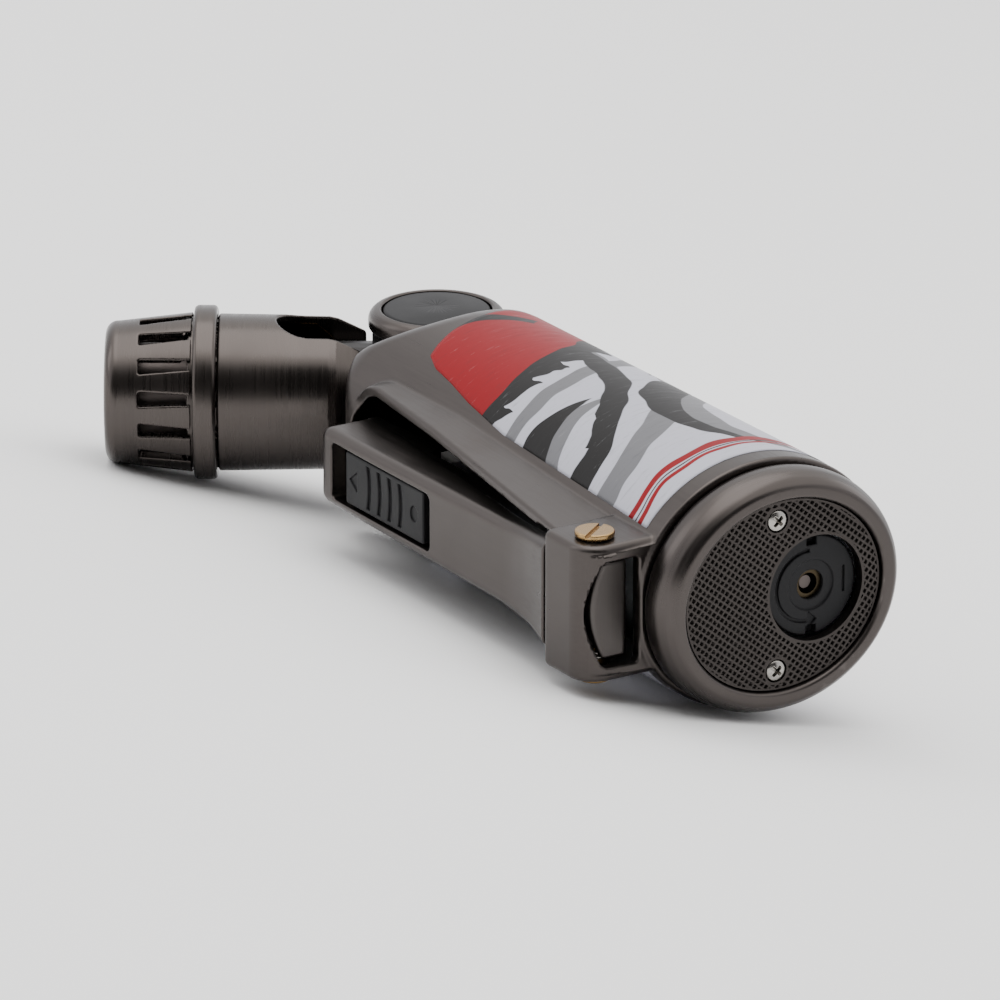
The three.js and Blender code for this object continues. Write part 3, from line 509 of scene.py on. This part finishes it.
def base_plate():
    """Face of the plate from the wheel's hole out to the oval edge, with its field of knurled pits."""
    columns, rows = ((640, 150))
    angle = np.linspace(0, 2 * np.pi, columns, endpoint=False)
    edge = np.stack([13.5 * np.cos(angle), 11.65 * np.sin(angle)], 1)
    hole = np.stack([WHEEL_X + 6.5 * np.cos(angle), 6.5 * np.sin(angle)], 1)
    t = np.linspace(0, 1, rows)[:, None, None]
    field = hole[None] * (1 - t) + edge[None] * t
    u, v = field[..., 0], field[..., 1]
    pitch, lean = 0.72, 0.9
    across = (u * math.cos(lean) + v * math.sin(lean)) / pitch
    down = (-u * math.sin(lean) + v * math.cos(lean)) / pitch
    pit = np.maximum(np.abs(across - np.round(across)), np.abs(down - np.round(down)))
    depth = 0.32 * np.clip((0.31 - pit) / 0.12, 0, 1)
    rim = np.linalg.norm(field - np.array([WHEEL_X, 0]), axis=2) - 6.5
    border = oval(u, v, 13.5, 11.65)
    depth = depth * (rim > 0.35) * (border < -0.25)
    for side in (-1, 1):
        near = np.hypot(u - SCREW_X, v - side * SCREW_Z)
        depth = np.where(near < 1.75, 0, depth)
        depth = np.where(near < 1.4, 0.85, depth)
    top = np.stack([u, depth, v], -1)
    rounds = [np.stack([top[0, :, 0], 0 * angle + y, top[0, :, 2]], -1) for y in (1.25, 0.8, 0.25, 0.06)]
    outer = [np.stack([edge[:, 0], 0 * angle + y, edge[:, 1]], -1) for y in (0.3, 1.25)]
    layers = np.concatenate([np.stack(rounds), top, np.stack(outer)])
    count = len(layers)
    points = layers.reshape(-1, 3)
    return make("base_plate_skin", points, wrap(count, columns, points))


plate = base_plate()
crease(plate, 40)
finish_piece(plate, "case", "plate", "gunmetal", "base_plate")


def screw_form(cz):
    def form(x, y, z):
        dx, dz = x - SCREW_X, z - cz
        r = np.sqrt(dx**2 + dz**2)
        dome = np.sqrt(r**2 + (y - 2.45) ** 2) - 2.72
        head = round_both(np.maximum(dome, y - 0.7), r - 1.3, 0.15)
        shank = np.maximum(r - 0.85, slab(y, 0.3, 10.2))
        a, b = (dx + dz) * 0.7071, (dz - dx) * 0.7071
        arm = lambda p, q: np.maximum(np.abs(p) - 0.85 + (y + 0.3) * 0.5, np.abs(q) - 0.2 + (y + 0.3) * 0.1)
        cross = np.maximum(np.minimum(arm(a, b), arm(b, a)), y - 0.6)
        return smax(np.minimum(head, shank), -cross, 0.06)
    return form


for label, z in (("upper", SCREW_Z), ("lower", -SCREW_Z)):
    low, high = (SCREW_X - 1.6, -0.6, z - 1.6), (SCREW_X + 1.6, 10.5, z + 1.6)
    screw = solid("base_screw_skin_" + label, screw_form(z), low, high, 0.09)
    finish_piece(screw, "case", "nickel", "nickel", "base_screw_" + label)


def wheel_form(x, y, z):
    dx = x - WHEEL_X
    r = np.sqrt(dx**2 + z**2)
    disc = round_both(slab(y, 1.0, 3.5), r - 6.2, 0.3)
    bore = np.where(y < 1.72, 1.8, 2.4) - r
    recess = round_both(r - 3.1, y - 1.25, 0.15)
    notch = np.maximum(slab(dx, -0.7, 0.7), np.maximum(5.0 - np.abs(z), slab(y, 0, 2)))
    bow = np.abs(np.sqrt((dx + 0.5) ** 2 + z**2) - 4.35) - 0.2
    bow = np.maximum(bow, dx + 0.3)
    head = np.maximum(np.abs(z + 4.3) + (dx + 0.3) * 0.9 - 1.0, -(dx + 0.4))
    bar = np.maximum(np.abs(dx - 4.5) - 0.16, np.abs(z) - 1.6)
    mark = np.minimum(np.minimum(bow, head), bar)
    mark = np.maximum(mark, y - 1.3)
    form = smax(disc, bore, 0.15)
    form = smax(form, -recess, 0.12)
    return smax(smax(form, -notch, 0.15), -mark, 0.08)


wheel = solid("adjuster_wheel_skin", wheel_form, (WHEEL_X - 6.6, 0.6, -6.6), (WHEEL_X + 6.6, 3.9, 6.6), 0.13)
finish_piece(wheel, "flame_wheel", "black", "black_plastic", "adjuster_wheel")

# ------------------------------------------------------------------ lever, lock slider and pivot screw

LEVER_Y = [14.8, 18.5, 26, 38, 50, 60, 70]
LEVER_IN = [-21.2, -20.6, -19.5, -18.0, -16.7, -15.6, -14.7]
LEVER_END = 69.0


def lever_form(x, y, z):
    toe, tip = np.clip((26 - y) / 11.2, 0, 1) ** 2, np.clip((y - 55) / 15, 0, 1) ** 2
    outer = -22.35 - 1.55 * toe + 0.3 * tip - x
    inner = x - lerp_table(y, LEVER_Y, LEVER_IN)
    flare = 1.35 * np.clip((28 - y) / 13.2, 0, 1) ** 1.7
    half = np.abs(z) - 4.8 - 0.5 * np.clip((70 - y) / 44, 0, 1) - flare
    side = round_both(outer, half, 1.35)
    end = round_both(side, y - LEVER_END, 2.6)
    corner = np.where(z < 0, round_both(half, y - LEVER_END, 3.6), round_both(half, y - LEVER_END, 1.8))
    end = np.maximum(end, corner)
    form = smax(smax(end, inner, 0.5), 14.8 - y, 0.4)
    window = round_both(slab(y, 42.4, 65.2), np.abs(z) - 3.6, 0.9)
    return smax(form, -np.maximum(window, x + 19.6), 0.25)


lever = solid("trigger_lever_skin", lever_form, (-24.6, 14, -7.4), (-14, 69.7, 7.4), 0.2)
finish_piece(lever, "trigger", "lever", "gunmetal", "trigger_lever")


def slider_form(x, y, z):
    form = brick(x, y, z, (-22.0, -20.2, 44.3, 62.1, -3.3, 3.3), 0.25)
    for i in range(4):
        middle = 49.6 + 2.4 * i
        bend = middle + 0.045 * (z * z) - 0.2
        groove = np.maximum(np.abs(y - bend) - 0.34, np.abs(z) - 2.7)
        form = smax(form, -np.maximum(groove, x + 21.72), 0.2)
    arrow = np.maximum(np.abs(z) - (61.2 - y) * 0.75, 59.5 - y)
    form = smax(form, -np.maximum(arrow, x + 21.8), 0.08)
    drop = np.sqrt(((y - 46.4) * 0.9) ** 2 + (z * 0.75) ** 2) - 0.75
    return smax(form, -np.maximum(drop, x + 21.8), 0.08)


slider = solid("lock_slider_skin", slider_form, (-22.4, 43.9, -3.7), (-19.9, 62.5, 3.7), 0.12)
finish_piece(slider, "slider", "black", "black_plastic", "lock_slider")


def detent_form(x, y, z):
    form = brick(x, y, z, (-20.1, -19.7, 42.75, 64.85, -3.2, 3.2), 0.1)
    a, b = (y + z) / 0.55, (y - z) / 0.55
    bumps = np.maximum(np.abs(a - np.round(a)), np.abs(b - np.round(b))) - 0.32
    field = brick(x, y, z, (-20.3, -19.9, 42.9, 64.7, -3.1, 3.1), 0.05)
    return np.minimum(form, np.maximum(bumps * 0.4, field))


detent = solid("detent_plate_skin", detent_form, (-20.5, 42.5, -3.4), (-19.5, 65.1, 3.4), 0.11)
finish_piece(detent, "trigger", "nickel", "nickel", "detent_plate")


SLOT_ANGLE = math.radians(37)


def pivot_form(x, y, z):
    dx, dy = x - PIVOT[0], y - PIVOT[1]
    r = np.sqrt(dx**2 + dy**2)
    head = round_both(slab(z, 8.5, 9.25), r - 2.35, 0.22)
    foot = round_both(slab(z, -9.2, -8.5), r - 1.9, 0.2)
    shank = np.maximum(r - 1.55, slab(z, -8.6, 8.6))
    c, s = math.cos(SLOT_ANGLE), math.sin(SLOT_ANGLE)
    groove = np.maximum(np.abs(-dx * s + dy * c) - 0.28, 8.85 - z)
    return smax(np.minimum(np.minimum(head, foot), shank), -groove, 0.08)


screw = solid("lever_pivot_screw_skin", pivot_form, (PIVOT[0] - 2.7, PIVOT[1] - 2.7, -9.5),
              (PIVOT[0] + 2.7, PIVOT[1] + 2.7, 9.6), 0.12)
finish_piece(screw, "case", "brass", "brass", "lever_pivot_screw")


def core_form(x, y, z):
    """The lever's inner tongue with its heel round the pivot. The inner edge clears the valve bracket."""
    outer = lerp_table(y, [11.5, 14.8, 18.5, 26, 38, 50, 60, 66, 70],
                       [-21.0, -21.0, -20.5, -19.7, -18.6, -17.5, -16.5, -15.9, -15.5])
    inner = lerp_table(y, [11.5, 18, 40.4, 41, 43.6, 44, 52.3, 53.4, 59.4, 67.4],
                       [-16.8, -16.6, -15.6, -14.3, -14.3, -15.7, -15.7, -13.8, -13.8, -14.2])
    tongue = round_both(np.maximum(outer - x, x - inner), np.maximum(np.abs(z) - 4.85, slab(y, 11.5, 67.4)), 0.3)
    dx, dy = x - PIVOT[0], y - PIVOT[1]
    r = np.sqrt(dx**2 + dy**2)
    heel = round_both(r - 2.6, slab(z, -4.4, 6.6), 0.3)
    left = -22.5 + 0.042 * z**2
    cover = round_both(np.maximum(left - x, x + 17.5), slab(y, 6.4, 9.1), 0.6)
    cover = round_both(cover, np.abs(z) - 6.0, 0.4)
    cover = np.where(z < -4.3, np.maximum(cover, 2.35 - r), cover)
    arm = brick(x, y, z, (-20.8, -17.4, PIVOT[1], 16.4, -4.4, 6.2), 0.3)
    form = np.minimum(np.minimum(tongue, heel), np.minimum(arm, cover))
    return np.maximum(form, 1.65 - r)


core = solid("lever_core_skin", core_form, (-23.4, 6.0, -6.9), (-12.4, 67.9, 6.9), 0.25)
finish_piece(core, "trigger", "heel", "dark_steel", "lever_core")



# The coil alone: the CAD spring's straight legs aren't drawn.
COIL_R, COIL_WIRE, COIL_LOW, COIL_PITCH = 1.98, 0.26, -6.25, 0.56
turns = np.linspace(0.15, 2.65, 120)
swing = 2 * np.pi * turns
coil = np.stack([PIVOT[0] + COIL_R * np.cos(swing), PIVOT[1] + COIL_R * np.sin(swing),
                 COIL_LOW + COIL_PITCH * turns], 1)
coil = np.concatenate([coil[:1], coil, coil[-1:]])
coil[0] -= (coil[2] - coil[1]) * 0.1
coil[-1] += (coil[-2] - coil[-3]) * 0.1
spring = sweep("lever_return_spring_skin", coil, COIL_WIRE)
finish_piece(spring, "case", "nickel", "nickel", "lever_return_spring")

# ------------------------------------------------------------------ swivel caps

RING_CAP = [(6.85, 9.7), (7.9, 9.7), (7.9, 8.4), (8.5, 8.8), (8.5, 9.9), (8.3, 10.45), (7.8, 10.9), (7.1, 11.1),
            (6.85, 10.95)]
INSERT_CAP = [(0, 9.7), (6.7, 9.7), (6.7, 10.75), (6.4, 11.0), (3.7, 11.25), (0, 11.35)]
for side, label in ((1, "upper"), (-1, "lower")):
    ring = lathe("cap_ring_skin_" + label, [(r, z * side) for r, z in RING_CAP], 0.3, 160, OWN, HUB, "Z", 5)
    finish_piece(ring, "case", "cap", "gunmetal", "cap_ring_" + label)
    insert = lathe("cap_insert_skin_" + label, [(r, z * side) for r, z in INSERT_CAP], 0.8, 128, OWN, HUB, "Z", 6)
    finish_piece(insert, "case", "insert", "black_plastic", "cap_insert_" + label)

# ------------------------------------------------------------------ burner head, +Y along the nozzle


def barrel_form(x, y, z):
    r = np.sqrt(x**2 + z**2)
    outer = r - lerp_table(y, [8.8, 12.3, 13.3, 27.0], [7.9, 9.35, 9.55, 9.75])
    outer = round_both(outer * 0.95, slab(y, 8.8, 27.0), 0.3)
    spigot = np.maximum(r - 9.3, slab(y, 20, 30.7))
    bore = r - lerp_table(y, [12.6, 15], [6.6, 8.5])
    slot = np.where(y < 15.6, np.abs(x) - 4.2, np.sqrt(x**2 + (y - 15.6) ** 2) - 4.2)
    slot = np.maximum(np.maximum(slot, 2 - z), 5 - y)
    return smax(smax(np.minimum(outer, spigot), -bore, 0.25), -slot, 0.35)


barrel = solid("nozzle_barrel_skin", barrel_form, (-10.2, 8.4, -10.2), (10.2, 31.1, 10.2), 0.22, NOZZLE)
finish_piece(barrel, "burner_head", "nozzle", "gunmetal", "nozzle_barrel")

COLLAR = [(9.5, 27.15), (10.5, 27.15), (10.8, 27.5), (10.8, 29.65), (10.5, 30.0), (9.5, 30.0)]
collar = lathe("collar_ring_skin", COLLAR, 0.3, 200, NOZZLE, steps=6)
finish_piece(collar, "burner_head", "nozzle", "gunmetal", "collar_ring")


def nose_form(x, y, z):
    r = np.sqrt(x**2 + z**2)
    outer = r - lerp_table(y, [30.2, 39.3], [9.9, 8.85])
    outer = round_both(outer, y - 41.0, 1.5)
    outer = round_both(outer, 30.2 - y, 0.2)
    bore = r - lerp_table(y, [31.2, 31.5, 39.2, 40.1], [9.5, 8.55, 7.6, 6.9])
    form = smax(outer, -bore, 0.3)
    sector = 2 * np.pi / 14
    angle = np.arctan2(x, z)
    angle = angle - sector * np.round(angle / sector)
    across = r * np.sin(angle)
    slot = round_both(np.abs(across) - 0.62 - 0.05 * (y - 31), slab(y, 29.0, 36.7), 0.25)
    return smax(form, -np.maximum(slot, 6.5 - r), 0.3)


nose = solid("nose_cap_skin", nose_form, (-10.4, 29.8, -10.4), (10.4, 41.4, 10.4), 0.18, NOZZLE)
finish_piece(nose, "burner_head", "nozzle", "gunmetal", "nose_cap")


TUBE = [(2.3, 19.9), (8.3, 19.9), (8.3, 21.0), (6.1, 21.4), (6.1, 38.6), (5.5, 38.6), (5.5, 22.2), (2.3, 21.6)]
tube = lathe("burner_tube_skin", TUBE, 0.15, 128, NOZZLE)
# the tube's dark look is partly heat tint and partly painted shade for where it shows through the nose slots
finish_piece(tube, "burner_head", "heat_tint_and_painted_shade", "nickel", "burner_tube")


def mesh_form(x, y, z):
    r = np.sqrt(x**2 + z**2)
    pitch = 0.75
    wire = 0.17
    wave = 0.12 * np.cos(np.pi * x / pitch) * np.cos(np.pi * z / pitch)
    a = np.sqrt((pitch * (x / pitch - np.round(x / pitch))) ** 2 + (y - 33.3 - wave) ** 2) - wire
    b = np.sqrt((pitch * (z / pitch - np.round(z / pitch))) ** 2 + (y - 33.3 + wave) ** 2) - wire
    rim = np.maximum(np.abs(r - 5.0) - 0.25, slab(y, 33.0, 33.6))
    return np.minimum(np.maximum(smin(a, b, 0.08), r - 5.0), rim)


grid = solid("flame_mesh_skin", mesh_form, (-5.5, 32.7, -5.5), (5.5, 33.9, 5.5), 0.1, NOZZLE)
finish_piece(grid, "burner_head", "dark_steel", "dark_steel", "flame_mesh")

# ------------------------------------------------------------------ printed film

SIDE_EDGE = ([0, 0.32, 0.6, 0.77, 0.87, 0.95, 1], [145.5, 142, 139, 133.8, 129.6, 127, 123])
HEAD_EDGE = ([0, 60, 71, 85, 97, 108, 117, 123], [69, 68.8, 68.2, 66.8, 65.8, 64.9, 63.9, 63])
LABEL_START = 7.5


def label_skin():
    columns, rows = 180, 110
    v = np.linspace(0, 1, rows)[:, None]
    u = np.linspace(-1, 1, columns)[None]
    angle = u * np.interp(v, *SIDE_EDGE)
    y = LABEL_START + (np.interp(np.abs(angle), *HEAD_EDGE) - LABEL_START) * v
    turn = np.radians(angle)
    layers = []
    for lift in (-0.05, 0.06):
        layers.append(np.stack([(BODY_A + lift) * np.cos(turn), y, (BODY_B + lift) * np.sin(turn)], -1))
    points = np.concatenate([layer.reshape(-1, 3) for layer in layers])
    i, j = np.meshgrid(np.arange(rows - 1), np.arange(columns - 1), indexing="ij")
    a = (i * columns + j).ravel()
    low = np.stack([a, a + 1, a + columns + 1, a + columns], 1)
    high = low[:, ::-1] + rows * columns
    rim = list(range(columns)) + [k * columns + columns - 1 for k in range(1, rows)]
    rim += [(rows - 1) * columns + k for k in range(columns - 2, -1, -1)]
    rim += [k * columns for k in range(rows - 2, 0, -1)]
    rim = np.array(rim)
    after = np.roll(rim, -1)
    wall = np.stack([after, rim, rim + rows * columns, after + rows * columns], 1)
    quads = np.concatenate([low, high, wall])
    around = (angle - 90) * math.pi / 180 * 16.2
    uv = np.stack([around.ravel(), y.ravel()], 1) / 100
    corner = [points[quads[:, k]] for k in range(4)]
    volume = (corner[0] * np.cross(corner[1], corner[2])).sum() + (corner[0] * np.cross(corner[2], corner[3])).sum()
    quads = quads if volume > 0 else quads[:, ::-1]
    return make("label_wrap_skin", points, quads, uv=np.concatenate([uv, uv]))


RED, CHARCOAL = rgb(0.23, 0.003, 0.007), rgb(0.014, 0.013, 0.013)
GREY, WHITE = rgb(0.15, 0.15, 0.16), rgb(0.46, 0.46, 0.52)


def label_material():
    """A generic printed pattern of sweeping bands: each is a disc less another disc, in (around, along) mm."""
    g = Graph("printed_film")
    shader = g.shader
    shader.inputs["Coat Weight"].default_value = 0.02
    shader.inputs["Coat Roughness"].default_value = 0.15
    shader.inputs["Specular IOR Level"].default_value = 0.1
    uv = g.node("UVMap", uv_map="print").outputs[0]
    flat = g.node("VectorMath", {0: uv, 1: (100, 100, 100)}, operation="MULTIPLY").outputs[0]
    warp = g.node("TexNoise", {"Vector": flat, "Scale": 0.13, "Detail": 1.0}).outputs["Color"]
    warp = g.node("VectorMath", {0: warp, 1: (0.5, 0.5, 0.5)}, operation="SUBTRACT").outputs[0]
    warp = g.node("VectorMath", {0: warp, 1: (2.6, 2.6, 0)}, operation="MULTIPLY").outputs[0]
    where = g.node("VectorMath", {0: flat, 1: warp}, operation="ADD").outputs[0]
    across = g.node("VectorMath", {0: where, 1: (0.24, 0.07, 0)}, operation="DOT_PRODUCT").outputs["Value"]
    teeth = g.math("FRACT", g.math("ADD", across, g.noise(where, 0.35, 1.0)))

    def disc(around, along, radius, jagged=0.0):
        gap = g.node("VectorMath", {0: where, 1: (around, along, 0)}, operation="DISTANCE").outputs["Value"]
        if jagged:
            gap = g.math("ADD", gap, g.math("MULTIPLY", teeth, jagged))
        return g.ramp(gap, radius - 0.06, radius + 0.06, 1.0, 0.0)

    def crescent(one, other):
        return g.math("MULTIPLY", disc(*one), g.math("SUBTRACT", 1.0, disc(*other)))

    color = WHITE
    none = (200, 0, 1)
    bands = [
        (GREY, (14.5, 80.5, 42.2), (15.2, 81.2, 40.9)),
        (CHARCOAL, (10.5, 24, 12.7), (4, 18.5, 16.4)),
        (GREY, (8.5, 22.5, 12.3), (3.4, 17.5, 15.2)),
        (CHARCOAL, (9.9, 23.6, 12.4, 0.9), (3.6, 18.2, 16.6)),
        (GREY, (26, 51, 31.4), (24.6, 49, 28.6)),
        (CHARCOAL, (24, 48, 28.6), (24.9, 48.9, 26.7, 0.5)),
        (GREY, (21, 49, 33.9), (22.4, 50.6, 32.4)),
        (CHARCOAL, (-15.5, 23, 17.0), (-20.5, 21, 17.2)),
        (GREY, (-16.5, 20, 15.2), (-20.5, 19, 16.4)),
        (CHARCOAL, (-25, 34, 14), (-30, 30, 16)),
        (CHARCOAL, (14.5, 80.5, 38.8, 2.2), none),
        (RED, (16, 79, 33.0), none),
        (CHARCOAL, (2.5, 52, 14.8), (3.6, 50.4, 14.4)),
        (RED, (-8.5, 61, 3.6), none),
        (CHARCOAL, (-24, 66, 12.0), (-24, 70, 10.4)),
        (RED, (0, -68, 81.2), (2.0, -68, 79.9)),
        (CHARCOAL, (0, -68, 79.75), (0.4, -68, 79.45)),
        (RED, (0, -68, 79.2), (-0.5, -68, 78.5)),
        (CHARCOAL, (-45, 40, 21), none),
        (CHARCOAL, (45, 40, 27), none),
    ]
    for shade, one, other in bands:
        mask = disc(*one) if other is none else crescent(one, other)
        color = g.mix(mask, color, shade)
    scratch_vector = g.node("Mapping", {"Vector": flat, "Rotation": (0, 0, 0.7), "Scale": (0.25, 1.6, 1)}).outputs[0]
    scratch = g.noise(scratch_vector, 1.0, 6.0, 0.75)
    color = g.mix(g.math("MULTIPLY", g.ramp(scratch, 0.54, 0.68), 0.25), color, rgb(0.03, 0.03, 0.03))
    color = g.mix(g.math("MULTIPLY", g.ramp(scratch, 0.40, 0.28), 0.15), color, rgb(0.55, 0.55, 0.58))
    g.put(shader.inputs["Base Color"], color)
    g.put(shader.inputs["Roughness"], g.ramp(scratch, 0.3, 0.7, 0.34, 0.44))
    g.bump(scratch, 0.05, 0.00002)
    return g.material


MATERIALS["label"] = label_material()
finish_piece(label_skin(), "case", "label", "label_film", "label_wrap")

# ------------------------------------------------------------------ carried-over solids

LOOKS = {
    "dark_steel": ["valve_bracket", "rocker_pin", "head_frame", "swivel_pin", "nozzle_hub"],
    # painted shade: the stem sits deep in the wheel's bore and is darkened to read as shade
    "heat_tint_and_painted_shade": ["filler_valve_stem"],
    "nickel": ["release_valve_stem", "valve_rocker", "gas_feed_tube", "electrode"],
    "brass_painted_shade": ["filler_valve_body"],
    # painted shade: the valve body is darkened so the wheel's bore reads as a dark hole
    "brass": ["release_valve_body", "jet"],
    "black": ["piezo_body"],
    "tank": ["gas_tank"],
    "rubber": ["filler_seal_ring", "gas_hose", "igniter_lead"],
    "ceramic": ["piezo_plunger", "electrode_insulator"],
}
for look, nodes in LOOKS.items():
    for node in nodes:
        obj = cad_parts[node]
        obj.data.materials.clear()
        obj.data.materials.append(MATERIALS[look])
        bevel = obj.modifiers.new("worn_edges", "BEVEL")
        bevel.width = 0.00012
        bevel.segments = 2
        bevel.limit_method = "ANGLE"
        bevel.angle_limit = math.radians(40)
        bevel.harden_normals = True
        obj.data.polygons.foreach_set("use_smooth", np.ones(len(obj.data.polygons), bool))
        crease(obj, 40)

# ------------------------------------------------------------------ floor, light and camera


def stage_material():
    g = Graph("pale_floor")
    fine = g.noise(g.place(np.eye(3), (1, 1, 1)), 6.0, 2.0, 0.5)
    g.put(g.shader.inputs["Base Color"], g.mix(fine, rgb(0.93, 0.93, 0.93), rgb(0.96, 0.96, 0.96)))
    g.shader.inputs["Roughness"].default_value = 0.9
    g.shader.inputs["Specular IOR Level"].default_value = 0.1
    return g.material


size = 3.0
floor_mesh = bpy.data.meshes.new("floor")
floor_mesh.from_pydata([(-size, -size, 0), (size, -size, 0), (size, size, 0), (-size, size, 0)], [], [(0, 1, 2, 3)])
floor = bpy.data.objects.new("floor", floor_mesh)
bpy.context.scene.collection.objects.link(floor)
floor_mesh.materials.append(stage_material())


def studio_world(toward):
    """Even bright surroundings, darker on the side that the direction points to up to a bright ceiling."""
    world = bpy.data.worlds.new("studio")
    bpy.context.scene.world = world
    world.use_nodes = True
    tree = world.node_tree
    link = tree.links.new
    where = tree.nodes.new("ShaderNodeTexCoord").outputs["Generated"]
    side = tree.nodes.new("ShaderNodeVectorMath")
    side.operation = "DOT_PRODUCT"
    link(where, side.inputs[0])
    side.inputs[1].default_value = toward
    split = tree.nodes.new("ShaderNodeSeparateXYZ")
    link(where, split.inputs[0])
    masks = []
    for socket, low, high in ((side.outputs["Value"], 0.45, 0.62), (split.outputs["Z"], 0.82, 0.72)):
        ramp = tree.nodes.new("ShaderNodeMapRange")
        ramp.interpolation_type = "SMOOTHSTEP"
        link(socket, ramp.inputs["Value"])
        ramp.inputs["From Min"].default_value = low
        ramp.inputs["From Max"].default_value = high
        masks.append(ramp.outputs[0])
    both = tree.nodes.new("ShaderNodeMath")
    both.operation = "MULTIPLY"
    for i, mask in enumerate(masks):
        link(mask, both.inputs[i])
    ceiling = tree.nodes.new("ShaderNodeMapRange")
    ceiling.interpolation_type = "SMOOTHSTEP"
    link(split.outputs["Z"], ceiling.inputs["Value"])
    ceiling.inputs["From Min"].default_value = 0.45
    ceiling.inputs["From Max"].default_value = 0.85
    color = None
    tones = ((ceiling, rgb(1.35, 1.35, 1.38), rgb(2.1, 2.08, 2.04)), (both, None, rgb(0.06, 0.06, 0.06)))
    for mask, even, other in tones:
        mix = tree.nodes.new("ShaderNodeMix")
        mix.data_type = "RGBA"
        link(mask.outputs[0], mix.inputs["Factor"])
        if color is None:
            mix.inputs[6].default_value = even
        else:
            link(color, mix.inputs[6])
        mix.inputs[7].default_value = other
        color = mix.outputs[2]
    link(color, tree.nodes["Background"].inputs[0])
    tree.nodes["Background"].inputs[1].default_value = 1.0


studio_world((-0.45, -0.89, 0.0))


def softbox(name, place, aim, width, height, power):
    lamp = bpy.data.lights.new(name, "AREA")
    lamp.shape = "RECTANGLE"
    lamp.size, lamp.size_y = width, height
    lamp.energy = power
    obj = bpy.data.objects.new(name, lamp)
    bpy.context.scene.collection.objects.link(obj)
    obj.location = place
    obj.rotation_euler = (Vector(aim) - Vector(place)).to_track_quat("-Z", "Y").to_euler()


softbox("top", (-0.12, 0.10, 0.90), (0, 0, 0), 0.9, 0.7, 4.0)
softbox("left", (-0.70, 0.50, 0.45), (0, 0.02, 0.02), 0.4, 0.5, 1.2)
softbox("right", (0.9, 0.1, 0.5), (0, 0, 0.01), 0.4, 0.5, 1.0)

# Angles and distances in the lighter's own frame, which is rolled in the row frame.
AZIMUTH, ELEVATION = math.radians(-32.1), math.radians(19.8)
CAMERA_BACK, CAMERA_RIGHT, CAMERA_UP = 1048.2, -33.0, 11.05
flat_reach = math.cos(ELEVATION)
back = Vector((math.sin(AZIMUTH) * flat_reach, -math.cos(AZIMUTH) * flat_reach, math.sin(ELEVATION)))
right = Vector((math.cos(AZIMUTH), math.sin(AZIMUTH), 0))
up = back.cross(right)
own_place = back * CAMERA_BACK + right * CAMERA_RIGHT + up * CAMERA_UP
camera_data = bpy.data.cameras.new("camera")
camera_data.sensor_width = 36
camera_data.lens = 324
camera = bpy.data.objects.new("camera", camera_data)
bpy.context.scene.collection.objects.link(camera)
row_turn = Matrix(TURN.tolist())
axes = Matrix([row_turn @ right, row_turn @ up, row_turn @ back]).transposed()
place = (row_turn @ own_place + Vector(SHIFT)) / 1000
camera.matrix_world = Matrix.Translation(place) @ axes.to_4x4()
bpy.context.scene.camera = camera
